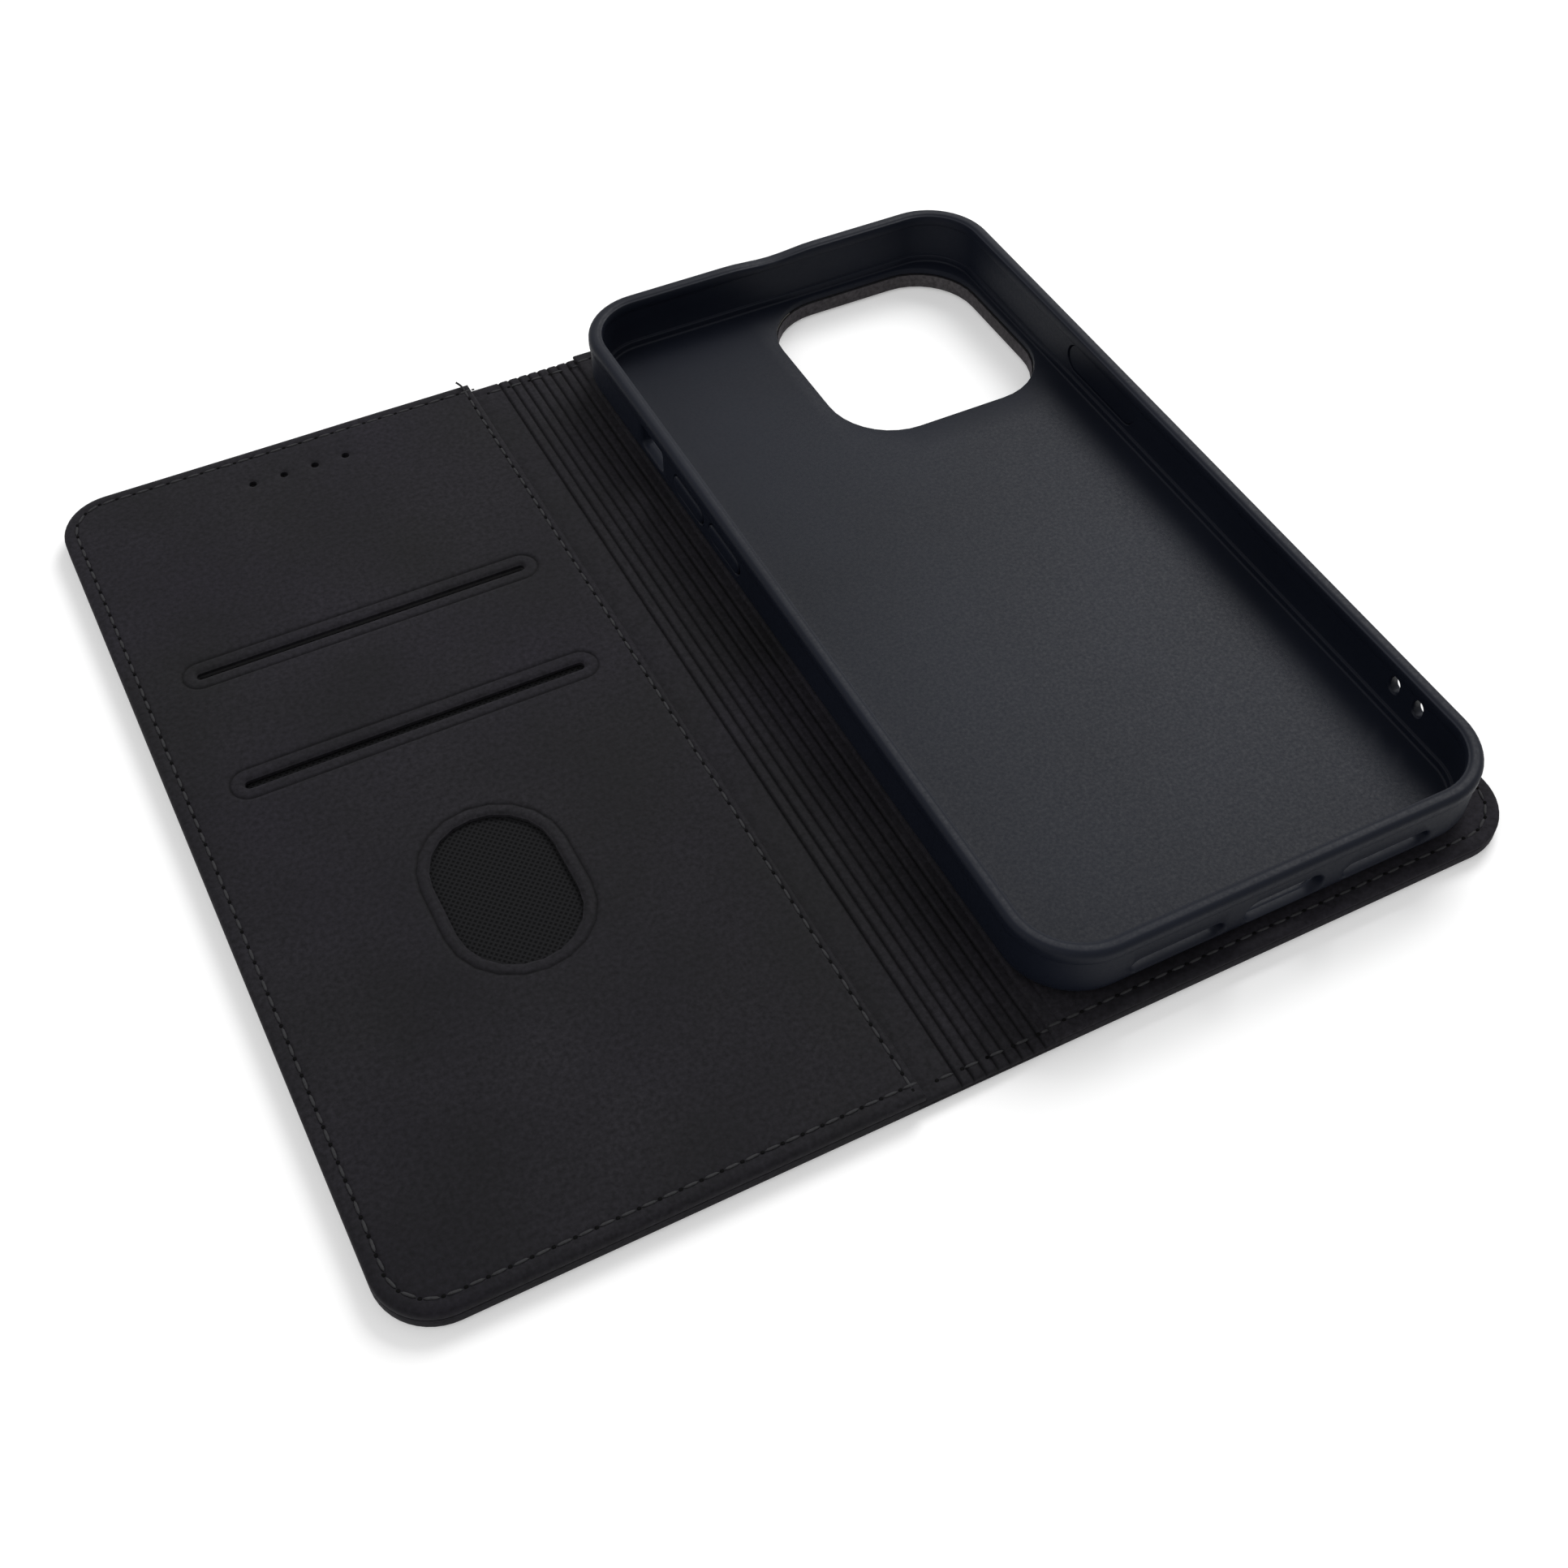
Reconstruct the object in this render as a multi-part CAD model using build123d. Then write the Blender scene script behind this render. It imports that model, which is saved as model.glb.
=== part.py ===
from build123d import *
import math
import os

# Folding phone wallet case, open and lying flat on its outer skin. Millimetres.
# X runs across the open case, from the front cover's free edge to the back cover's free edge.
# Y runs up the phone, Z is up. The origin is under the middle of the open case.

# Cover
cover_length = 169.0          # along Y, both covers and the spine
front_width = 76.3            # free edge to the front cover's fold line
flat_width = 5.56             # plain band of the spine beside the front cover
groove_count = 8              # grooves pressed along the spine's lining
groove_pitch = 1.92
groove_width = 0.6
groove_depth = 0.35
folding_groove = 1            # counted from the front cover, the first is 0
hidden_band = 1.0             # last groove to the fold line under the tray's edge
back_width = 84.6             # fold line under the tray to the back cover's free edge
front_corner_radius = 9.0
back_corner_radius = 10.0
skin_thickness = 0.9          # outer skin, glued and turned up round the edges
turned_edge_width = 0.9
spine_thickness = 2.0         # skin and lining together
pivot_height = 1.6            # height of every fold's neutral line
fold_gap = 0.05               # half of the gap left at the neutral line
sheet_clearance = 0.05        # between a sealed inner piece and the walls around it
edge_rounding = 0.45          # outer skin's lower edges

# Bending of each fold in degrees, from the tray to the front cover, with the case shut
closed_bends = [74, 77, 26]
back_share = 0.5              # the part of each bend that the fold can also make backwards

# Front cover, upwards from the skin
front_board_thickness = 1.2
backing_thickness = 0.25      # woven cloth behind the card pockets
pocket_sheet_thickness = 0.25
padding_thickness = 0.55
panel_thickness = 1.0
panel_fold_gap = 0.2          # panel's edge to the front cover's fold line
panel_rounding = 0.8

# Card pockets and holes in the front cover
slot_length = 56.1
slot_offset = 0.75            # from the front cover's middle towards its fold
upper_slot_height = 1.3
lower_slot_height = 1.6
upper_slot_y = 35.3
lower_slot_y = 10.0
card_width = 54.0             # standard card, 85.6 x 54
card_length = 85.6
card_clearance = 1.0
pocket_sheet_margin = 1.5     # pocket sheet beyond the card on each side
pocket_bottom_gap = 4.0       # lower edge of the cover to the pockets' cloth
window_width = 19.0
window_length = 28.5
window_y = -25.9
speaker_hole_diameter = 1.4
speaker_hole_count = 4
speaker_hole_pitch = 5.6
speaker_hole_y = 75.6
speaker_row_from_free_edge = 41.2

# Magnets that hold the covers together: flat discs sealed in both boards
magnet_diameter = 10.0
magnet_thickness = 0.8
magnet_count = 3
magnet_pitch = 40.0
lowest_magnet_y = -62.0       # all of them below the camera window
magnet_from_free_edge = 9.0
magnet_clearance = 0.1

# Back cover, upwards from the skin
back_board_thickness = 1.0
back_lining_thickness = 0.9
back_lining_setback = 0.6     # back lining's edge from the fold line under the tray
adhesive_thickness = 0.2
adhesive_inset = 5.0          # inside the tray's outline, where its bottom is flat

# Phone tray: soft moulded shell for a phone about 77.6 x 160.7 x 8
tray_width = 81.4
tray_length = 164.4
tray_height = 11.3            # from the adhesive to the top of the rim
tray_corner_radius = 12.0
tray_left_from_fold = -0.4    # tray's outer left face from the fold line under it
tray_offset_y = 0.26
tray_wall = 2.0
tray_floor = 1.2
tray_bottom_rounding = 3.4
floor_fillet = 0.9
rim_width = 2.5
rim_height = 2.2
rim_proud = 0.25              # rim beyond the wall below it
rim_rounding = 1.0

# Openings in the tray
camera_width = 41.4
camera_length = 42.3
camera_radius = 12.0
camera_from_right = 3.9       # window's edge from the tray's outer right face
camera_from_top = 3.86
mute_length = 8.5
mute_height = 4.5
mute_y = 46.75
mute_bottom = 4.0             # above the tray's underside
mute_radius = 1.0
port_width = 13.6
port_height = 4.4
port_z = 4.5                  # centre above the tray's underside
speaker_slot_width = 15.6
speaker_slot_height = 2.9
speaker_slot_z = 4.1
right_speaker_offset = 18.4   # centre from the tray's middle
left_speaker_offset = -18.3
eye_width = 2.0               # lanyard eyes, along Y
eye_height = 3.0
eye_pitch = 5.6
eye_y = -59.9
eye_z = 7.0                   # above the tray's underside
relief_length = 18.0          # shallow dip in the top wall's rim
relief_depth = 0.7

# Keys that stand in the side walls
key_height = 3.4
key_z = 6.2                   # centre above the tray's underside
key_clearance = 0.2
key_proud = 0.35              # outside the wall
key_travel = 0.5
key_flange = 0.8              # flange beyond the key all round
key_flange_thickness = 0.6
key_rounding = 0.3
key_end_flat = 0.02           # left between the two rounded corners of a key's end
flange_clearance = 0.1
volume_key_length = 11.2
volume_up_y = 32.05
volume_down_y = 18.4
power_key_length = 19.4
power_key_y = 26.2

# Fold lines, from the front cover to the fold under the tray
groove_span = (groove_count - 1) * groove_pitch
total_width = front_width + flat_width + groove_span + hidden_band + back_width
free_edge_x = -total_width / 2
front_fold_x = free_edge_x + front_width
flat_end_x = front_fold_x + flat_width
groove_lines = [flat_end_x + k * groove_pitch for k in range(groove_count)]
back_fold_x = groove_lines[-1] + hidden_band
fold_lines = [back_fold_x, groove_lines[folding_groove], front_fold_x]
back_edge_x = back_fold_x + back_width

# Heights in the front cover
front_board_top = skin_thickness + front_board_thickness
backing_top = front_board_top + backing_thickness
panel_underside = backing_top + padding_thickness
panel_top = panel_underside + panel_thickness
inner_fold_inset = panel_fold_gap + turned_edge_width
slot_centre_x = free_edge_x + front_width / 2 + slot_offset

# Heights in the back cover and places in the tray
back_board_top = skin_thickness + back_board_thickness
back_lining_top = back_board_top + back_lining_thickness
tray_base = back_lining_top + adhesive_thickness
tray_top = tray_base + tray_height
tray_left_x = back_fold_x + tray_left_from_fold
tray_right_x = tray_left_x + tray_width
tray_centre_x = tray_left_x + tray_width / 2
tray_top_y = tray_offset_y + tray_length / 2
tray_bottom_y = tray_offset_y - tray_length / 2
cavity_corner_radius = tray_corner_radius - rim_proud - tray_wall
camera_x = tray_right_x - camera_from_right - camera_width / 2
camera_y = tray_top_y - camera_from_top - camera_length / 2
through = 40.0                # longer than anything it cuts


def slab(outline, low, high):
    """A flat sheet from an outline drawn on the ground plane."""
    return extrude(Pos(0, 0, low) * outline, high - low)


def half_outline(edge_x, fold_x, length, radius):
    """A cover's outline: square at its fold, rounded at its free edge."""
    middle = (edge_x + fold_x) / 2
    sheet = Pos(middle, 0) * Rectangle(abs(fold_x - edge_x), length)
    side = 0 if edge_x < fold_x else -1
    corners = sheet.vertices().group_by(Axis.X)[side]
    return fillet(corners, radius)


def front_outline(inset=0.0, fold_inset=0.0):
    """Outline of a sheet in the front cover."""
    edge = free_edge_x + inset
    fold = front_fold_x - fold_inset
    return half_outline(edge, fold, cover_length - 2 * inset, front_corner_radius - inset)


def back_outline(inset=0.0, fold_inset=0.0):
    """Outline of a sheet in the back cover."""
    edge = back_edge_x - inset
    fold = back_fold_x + fold_inset
    return half_outline(edge, fold, cover_length - 2 * inset, back_corner_radius - inset)


def fold_wedge(x, closed_bend):
    """The V cut out of both sides of one fold line, above and below its neutral line."""
    close_half = math.radians(closed_bend / 2)
    open_half = math.radians(closed_bend * back_share / 2)
    rise = spine_thickness - pivot_height
    top = fold_gap + rise * math.tan(close_half)
    bottom = fold_gap + pivot_height * math.tan(open_half)
    points = [
        (x - bottom, 0),
        (x + bottom, 0),
        (x + fold_gap, pivot_height),
        (x + top, spine_thickness),
        (x + top, panel_top),
        (x - top, panel_top),
        (x - top, spine_thickness),
        (x - fold_gap, pivot_height),
    ]
    profile = Plane.XZ * make_face(Polyline(*points, close=True))
    return extrude(profile, cover_length, both=True)


def camera_hole():
    """The camera window, through every layer of the back cover."""
    shape = Pos(camera_x, camera_y) * RectangleRounded(camera_width, camera_length, camera_radius)
    return slab(shape, -through, through)


def speaker_holes():
    """The row of earpiece holes, through every layer of the front cover."""
    row_length = (speaker_hole_count - 1) * speaker_hole_pitch
    first = free_edge_x + speaker_row_from_free_edge - row_length / 2
    hole = Cylinder(speaker_hole_diameter / 2, through)
    return [Pos(first + k * speaker_hole_pitch, speaker_hole_y, 0) * hole for k in range(speaker_hole_count)]


def magnets(x, low, growth=0.0):
    """A column of disc magnets, or the holes that hold them."""
    align = (Align.CENTER, Align.CENTER, Align.MIN)
    disc = Cylinder(magnet_diameter / 2 + growth, magnet_thickness + growth, align=align)
    return [Pos(x, lowest_magnet_y + k * magnet_pitch, low) * disc for k in range(magnet_count)]


def turned_skin(outer, inner, top):
    """An outer skin: flat below, its border turned up round the board."""
    skin = slab(outer, 0, top) - slab(inner, skin_thickness, top)
    lowest = skin.faces().sort_by(Axis.Z)[0]
    return fillet(lowest.edges().filter_by(lambda edge: not is_fold_edge(edge)), edge_rounding)


def is_fold_edge(edge):
    """True for the straight edge that lies along a cover's fold."""
    place = edge.center().X
    return math.isclose(place, front_fold_x) or math.isclose(place, back_fold_x)


def front_skin():
    """Outer skin of the front cover."""
    skin = turned_skin(front_outline(), front_outline(turned_edge_width, -1), front_board_top)
    return skin - fold_wedge(front_fold_x, closed_bends[-1]) - speaker_holes()


def front_board():
    """Stiff board inside the front cover, pocketed for the magnets."""
    outline = front_outline(turned_edge_width + sheet_clearance)
    board = slab(outline, skin_thickness, front_board_top)
    holes = magnets(free_edge_x + magnet_from_free_edge, skin_thickness, magnet_clearance)
    return board - fold_wedge(front_fold_x, closed_bends[-1]) - holes - speaker_holes()


def pocket_backing():
    """Woven cloth over the board, seen through the slots and the window."""
    outline = front_outline(turned_edge_width + sheet_clearance, inner_fold_inset)
    return slab(outline, front_board_top, backing_top) - speaker_holes()


def pocket_outline(slot_y, growth=0.0):
    """Outline of one card pocket's cloth: as wide as a card and its clearance, as deep as a card."""
    width = card_width + 2 * (card_clearance + pocket_sheet_margin) + 2 * growth
    depth = card_length + card_clearance + pocket_sheet_margin
    lowest = pocket_bottom_gap - cover_length / 2
    bottom = max(slot_y - depth, lowest) - growth
    top = slot_y - upper_slot_height + growth
    return Pos(slot_centre_x, (top + bottom) / 2) * Rectangle(width, top - bottom)


def card_pocket(slot_y, level):
    """The cloth of one card pocket, behind the thumb window."""
    low = backing_top + level * pocket_sheet_thickness
    return slab(pocket_outline(slot_y), low, low + pocket_sheet_thickness)


def thumb_window():
    """The rounded window that shows the card, cut through the panel."""
    shape = Pos(slot_centre_x, window_y) * Rot(0, 0, 90) * SlotOverall(window_length, window_width)
    return slab(shape, backing_top, through)


def card_slots():
    """Both card slots, cut through the panel."""
    upper = Pos(slot_centre_x, upper_slot_y) * SlotOverall(slot_length, upper_slot_height)
    lower = Pos(slot_centre_x, lower_slot_y) * SlotOverall(slot_length, lower_slot_height)
    return [slab(upper, backing_top, through), slab(lower, backing_top, through)]


def panel_padding():
    """Thin foam under the panel, cut out round the card pockets."""
    outline = front_outline(turned_edge_width + sheet_clearance, inner_fold_inset)
    padding = slab(outline, backing_top, panel_underside)
    pockets = [
        slab(pocket_outline(y, sheet_clearance), backing_top, panel_underside)
        for y in (upper_slot_y, lower_slot_y)
    ]
    return padding - pockets - card_slots() - speaker_holes()


def pocket_panel():
    """Sewn inner panel with the card slots, its border turned down onto the outer skin."""
    outer = slab(front_outline(0, panel_fold_gap), front_board_top, panel_top)
    recess = slab(front_outline(turned_edge_width, inner_fold_inset), front_board_top, panel_underside)
    panel = outer - recess
    rim = panel.faces().sort_by(Axis.Z)[-1]
    panel = fillet(rim.edges(), panel_rounding)
    return panel - card_slots() - thumb_window() - speaker_holes()


def pressed_grooves():
    """Every groove pressed into the top of the spine's lining."""
    half = groove_width / 2
    bottom = spine_thickness - groove_depth
    cutters = []
    for x in groove_lines:
        corners = [(x - half, spine_thickness), (x, bottom), (x + half, spine_thickness)]
        profile = Plane.XZ * make_face(Polyline(*corners, close=True))
        cutters.append(extrude(profile, cover_length, both=True))
    return cutters


def spine_sheet(index, low, high):
    """One sheet of the spine between two fold lines, cut back to its folds."""
    right = fold_lines[index]
    left = fold_lines[index + 1]
    outline = Pos((left + right) / 2, 0) * Rectangle(right - left, cover_length)
    wedges = [fold_wedge(right, closed_bends[index]), fold_wedge(left, closed_bends[index + 1])]
    return slab(outline, low, high) - wedges


def back_skin():
    """Outer skin of the back cover."""
    skin = turned_skin(back_outline(), back_outline(turned_edge_width, -1), back_board_top)
    return skin - fold_wedge(back_fold_x, closed_bends[0]) - camera_hole()


def back_board():
    """Stiff board inside the back cover, pocketed for the magnets."""
    board = slab(back_outline(turned_edge_width + sheet_clearance), skin_thickness, back_board_top)
    holes = magnets(back_edge_x - magnet_from_free_edge, skin_thickness, magnet_clearance)
    return board - fold_wedge(back_fold_x, closed_bends[0]) - camera_hole() - holes


def back_lining():
    """Inner skin of the back cover, under the tray and sewn round its border."""
    return slab(back_outline(0, back_lining_setback), back_board_top, back_lining_top) - camera_hole()


def tray_adhesive():
    """Adhesive sheet between the tray and the back lining, left off outside the camera window's corner."""
    width = tray_width - 2 * adhesive_inset
    length = tray_length - 2 * adhesive_inset
    radius = tray_corner_radius - adhesive_inset
    shape = Pos(tray_centre_x, tray_offset_y) * RectangleRounded(width, length, radius)
    beyond = Pos(camera_x + tray_width / 2, camera_y + tray_width / 2) * Rectangle(tray_width, tray_width)
    return slab(shape - beyond, back_lining_top, tray_base) - camera_hole()


def tray_outline(inset, radius):
    """The tray's outline at a distance inside its rim."""
    place = Pos(tray_centre_x, tray_offset_y)
    return place * RectangleRounded(tray_width - 2 * inset, tray_length - 2 * inset, radius)


def tray_body():
    """The tray's walls, floor and rim, before its openings are cut."""
    rim_base = tray_top - rim_height
    wall = slab(tray_outline(rim_proud, tray_corner_radius - rim_proud), tray_base, rim_base)
    lowest = wall.faces().sort_by(Axis.Z)[0]
    wall = fillet(lowest.edges(), tray_bottom_rounding)
    inner_inset = rim_proud + tray_wall
    cavity = slab(tray_outline(inner_inset, cavity_corner_radius), tray_base + tray_floor, rim_base)
    cavity_bottom = cavity.faces().sort_by(Axis.Z)[0]
    cavity = fillet(cavity_bottom.edges(), floor_fillet)
    rim = slab(tray_outline(0, tray_corner_radius), rim_base, tray_top)
    rim = rim - slab(tray_outline(rim_width, tray_corner_radius - rim_width), rim_base, tray_top)
    rim_face = rim.faces().sort_by(Axis.Z)[-1]
    rim = fillet(rim_face.edges(), rim_rounding)
    return (wall - cavity) + rim


def side_hole(x, y, z, length, height, radius):
    """A rounded hole through a side wall, along X."""
    plane = Plane(origin=(x, y, z), x_dir=(0, 1, 0), z_dir=(1, 0, 0))
    return extrude(plane * RectangleRounded(length, height, radius), 2 * tray_wall, both=True)


def end_hole(x, z, width, height):
    """A round-ended hole through the bottom wall, along Y."""
    y = tray_bottom_y + rim_proud + tray_wall / 2
    plane = Plane(origin=(x, y, z), x_dir=(1, 0, 0), z_dir=(0, 1, 0))
    return extrude(plane * SlotOverall(width, height), 2 * tray_wall, both=True)


def key_places():
    """Each key's name, wall side, place along Y and length."""
    return [
        ("volume_up_key", -1, volume_up_y, volume_key_length),
        ("volume_down_key", -1, volume_down_y, volume_key_length),
        ("power_key", 1, power_key_y, power_key_length),
    ]


def wall_face_x(side, depth):
    """X of a plane a given depth inside the left (-1) or right (1) wall's outer face."""
    outer = tray_right_x - rim_proud if side > 0 else tray_left_x + rim_proud
    return outer - side * depth


def key_block(side, y, length, height, near, far, radius):
    """A rounded block in a side wall, between two depths inside its outer face."""
    start = wall_face_x(side, near)
    plane = Plane(origin=(start, y, tray_base + key_z), x_dir=(0, 1, 0), z_dir=(-side, 0, 0))
    return extrude(plane * RectangleRounded(length, height, radius), far - near)


def key(side, y, length):
    """One key: a head that stands in the wall's hole and a flange behind it."""
    shoulder = tray_wall / 2
    head_radius = (key_height - key_end_flat) / 2
    flange_near = shoulder + flange_clearance
    flange_far = flange_near + key_flange_thickness
    head = key_block(side, y, length, key_height, -key_proud, flange_near, head_radius)
    outer_face = head.faces().sort_by(Axis.X)[0 if side < 0 else -1]
    head = fillet(outer_face.edges(), key_rounding)
    flange_length = length + 2 * key_flange
    flange_height = key_height + 2 * key_flange
    flange = key_block(side, y, flange_length, flange_height, flange_near, flange_far, head_radius)
    return head + flange


def key_cutters():
    """The stepped hole for each key: its head's hole and its flange's recess."""
    shoulder = tray_wall / 2
    reach = tray_wall + 2 * key_travel
    grown = 2 * key_clearance
    cutters = []
    for _, side, y, length in key_places():
        radius = key_height / 2
        hole = key_block(side, y, length + grown, key_height + grown, -rim_width, reach, radius)
        recess_length = length + 2 * key_flange + grown
        recess_height = key_height + 2 * key_flange + grown
        recess = key_block(side, y, recess_length, recess_height, shoulder, reach, radius)
        cutters += [hole, recess]
    return cutters


def lanyard_eyes():
    """Two oval eyes through the right wall, for a wrist strap's loop."""
    x = wall_face_x(1, tray_wall / 2)
    plane_z = tray_base + eye_z
    cuts = []
    for offset in (-eye_pitch / 2, eye_pitch / 2):
        plane = Plane(origin=(x, eye_y + offset, plane_z), x_dir=(0, 0, 1), z_dir=(1, 0, 0))
        cuts.append(extrude(plane * SlotOverall(eye_height, eye_width), 2 * tray_wall, both=True))
    return cuts


def rim_relief():
    """Shallow dip in the rim at the middle of the top wall, to lift the phone out."""
    y = tray_top_y - rim_width / 2
    block = Box(relief_length, 2 * rim_width, 2 * relief_depth)
    block = fillet(block.edges().filter_by(Axis.Y).group_by(Axis.Z)[0], relief_depth)
    return Pos(tray_centre_x, y, tray_top) * block


def phone_tray():
    """The moulded tray that grips the phone, with all its openings."""
    tray = tray_body() - camera_hole()
    port = end_hole(tray_centre_x, tray_base + port_z, port_width, port_height)
    slots = [
        end_hole(tray_centre_x + offset, tray_base + speaker_slot_z, speaker_slot_width, speaker_slot_height)
        for offset in (left_speaker_offset, right_speaker_offset)
    ]
    mute_z = tray_base + mute_bottom + mute_height / 2
    mute = side_hole(wall_face_x(-1, tray_wall / 2), mute_y, mute_z, mute_length, mute_height, mute_radius)
    return tray - port - slots - mute - key_cutters() - lanyard_eyes() - rim_relief()


def spine_pieces():
    """The spine's two strips, from the tray to the front cover, each a skin and a lining."""
    pieces = {}
    for index, name in enumerate(["grooved", "flat"]):
        pieces[f"spine_skin_{name}"] = spine_sheet(index, 0, skin_thickness)
        lining = spine_sheet(index, skin_thickness, spine_thickness)
        pieces[f"spine_lining_{name}"] = lining - pressed_grooves()
    return pieces


def all_pieces():
    """Every piece by its node name."""
    pieces = {
        "phone_tray": phone_tray(),
        "tray_adhesive": tray_adhesive(),
        "back_lining": back_lining(),
        "back_board": back_board(),
        "back_magnets": Compound(magnets(back_edge_x - magnet_from_free_edge, skin_thickness)),
        "back_skin": back_skin(),
        "front_skin": front_skin(),
        "front_board": front_board(),
        "front_magnets": Compound(magnets(free_edge_x + magnet_from_free_edge, skin_thickness)),
        "pocket_backing": pocket_backing(),
        "card_pocket_upper": card_pocket(upper_slot_y, 0),
        "card_pocket_lower": card_pocket(lower_slot_y, 1),
        "panel_padding": panel_padding(),
        "pocket_panel": pocket_panel(),
    }
    for name, side, y, length in key_places():
        pieces[name] = key(side, y, length)
    pieces.update(spine_pieces())
    return pieces


os.makedirs("parts", exist_ok=True)
for name, piece in all_pieces().items():
    export_step(piece, f"parts/{name}.step")
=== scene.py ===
import math

import bmesh
import bpy
import numpy as np
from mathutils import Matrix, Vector, geometry, noise


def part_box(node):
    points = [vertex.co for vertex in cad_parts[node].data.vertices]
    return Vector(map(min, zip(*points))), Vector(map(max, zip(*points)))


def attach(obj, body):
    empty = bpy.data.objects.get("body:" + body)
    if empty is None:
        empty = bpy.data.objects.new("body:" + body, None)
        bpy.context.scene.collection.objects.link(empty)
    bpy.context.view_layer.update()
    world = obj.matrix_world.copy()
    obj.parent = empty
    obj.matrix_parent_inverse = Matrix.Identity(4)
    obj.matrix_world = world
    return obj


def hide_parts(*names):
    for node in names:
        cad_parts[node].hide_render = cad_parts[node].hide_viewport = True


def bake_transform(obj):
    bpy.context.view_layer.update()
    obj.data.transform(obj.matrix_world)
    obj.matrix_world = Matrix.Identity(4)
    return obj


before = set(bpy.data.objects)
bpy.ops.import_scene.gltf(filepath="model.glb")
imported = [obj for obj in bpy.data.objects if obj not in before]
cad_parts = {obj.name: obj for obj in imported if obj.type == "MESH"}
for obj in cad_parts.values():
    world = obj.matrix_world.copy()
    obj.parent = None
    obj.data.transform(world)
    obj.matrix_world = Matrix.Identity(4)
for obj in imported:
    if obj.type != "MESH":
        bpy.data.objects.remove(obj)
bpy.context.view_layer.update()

# ---------------------------------------------------------------------------------------------------
# The studio: a plain white table under soft light from above and behind on the right, and a camera
# that looks down across the open case from its lower left corner.
camera_lens = bpy.data.cameras.new("camera")
camera_lens.lens = 45.56
camera_lens.shift_x = -0.0088
camera_lens.clip_start = 0.01
camera = bpy.data.objects.new("camera", camera_lens)
camera.location = (-0.09576, -0.19971, 0.23567)
camera.rotation_euler = [math.radians(a) for a in (39.966, -0.4387, -27.443)]
bpy.context.collection.objects.link(camera)
bpy.context.scene.camera = camera
bpy.context.scene.view_settings.view_transform = "Standard"


def soft_lamp(name, place, size, watts):
    """A square softbox that faces the case."""
    lamp = bpy.data.lights.new(name, "AREA")
    lamp.size = size
    lamp.energy = watts
    box = bpy.data.objects.new(name, lamp)
    box.location = place
    box.rotation_euler = (-Vector(place)).to_track_quat("-Z", "Y").to_euler()
    bpy.context.collection.objects.link(box)


soft_lamp("softbox_behind", (0.66, 0.5, 0.85), 0.55, 9)
soft_lamp("softbox_left", (-0.8, -0.3, 0.8), 0.8, 2)


def wire(tree, start, end):
    """Joins two sockets of a node tree."""
    tree.links.new(start, end)


def shader_node(tree, kind, **settings):
    """A new node, with its properties or inputs set by name."""
    made = tree.nodes.new(kind)
    for key, value in settings.items():
        if hasattr(made, key):
            setattr(made, key, value)
        else:
            made.inputs[key.replace("_", " ")].default_value = value
    return made


def seen_directly(tree):
    """1 for a ray that comes from the camera, off gloss or through glass."""
    path = shader_node(tree, "ShaderNodeLightPath")
    first = shader_node(tree, "ShaderNodeMath", operation="MAXIMUM")
    both = shader_node(tree, "ShaderNodeMath", operation="MAXIMUM")
    wire(tree, path.outputs["Is Camera Ray"], first.inputs[0])
    wire(tree, path.outputs["Is Glossy Ray"], first.inputs[1])
    wire(tree, first.outputs[0], both.inputs[0])
    wire(tree, path.outputs["Is Transmission Ray"], both.inputs[1])
    return both.outputs[0]


room = bpy.data.worlds.new("room")
room.use_nodes = True
room.node_tree.nodes.clear()
lit = shader_node(room.node_tree, "ShaderNodeBackground", Color=(1, 1, 1, 1), Strength=0.5)
shown = shader_node(room.node_tree, "ShaderNodeBackground", Color=(1, 1, 1, 1), Strength=1.0)
chosen = shader_node(room.node_tree, "ShaderNodeMixShader")
room_output = shader_node(room.node_tree, "ShaderNodeOutputWorld")
wire(room.node_tree, seen_directly(room.node_tree), chosen.inputs[0])
wire(room.node_tree, lit.outputs[0], chosen.inputs[1])
wire(room.node_tree, shown.outputs[0], chosen.inputs[2])
wire(room.node_tree, chosen.outputs[0], room_output.inputs[0])
bpy.context.scene.world = room

table_mesh = bpy.data.meshes.new("table_top")
table_reach = 3
table_level = -0.0004
table_ways = ((-1, -1), (1, -1), (1, 1), (-1, 1))
table_corners = [(a * table_reach, b * table_reach, table_level) for a, b in table_ways]
table_mesh.from_pydata(table_corners, [], [(0, 1, 2, 3)])
table_top = bpy.data.objects.new("table_top", table_mesh)
bpy.context.collection.objects.link(table_top)
table_white = bpy.data.materials.new("table_white")
table_white.use_nodes = True
white_tree = table_white.node_tree
white_shader = white_tree.nodes["Principled BSDF"]
white_shader.inputs["Base Color"].default_value = (0.82, 0.82, 0.82, 1)
white_shader.inputs["Roughness"].default_value = 0.9
white_shader.inputs["Specular IOR Level"].default_value = 0.1
white_glow = shader_node(white_tree, "ShaderNodeEmission", Strength=0.3)
white_sum = shader_node(white_tree, "ShaderNodeAddShader")
white_pick = shader_node(white_tree, "ShaderNodeMixShader")
wire(white_tree, white_shader.outputs[0], white_sum.inputs[0])
wire(white_tree, white_glow.outputs[0], white_sum.inputs[1])
wire(white_tree, seen_directly(white_tree), white_pick.inputs[0])
wire(white_tree, white_shader.outputs[0], white_pick.inputs[1])
far_white = shader_node(white_tree, "ShaderNodeEmission", Strength=1.0)
far_place = shader_node(white_tree, "ShaderNodeTexCoord")
far_length = shader_node(white_tree, "ShaderNodeVectorMath", operation="LENGTH")
far_share = shader_node(white_tree, "ShaderNodeMapRange", From_Min=0.2, From_Max=0.45)
far_share.interpolation_type = "SMOOTHSTEP"
far_fade = shader_node(white_tree, "ShaderNodeMixShader")
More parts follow.
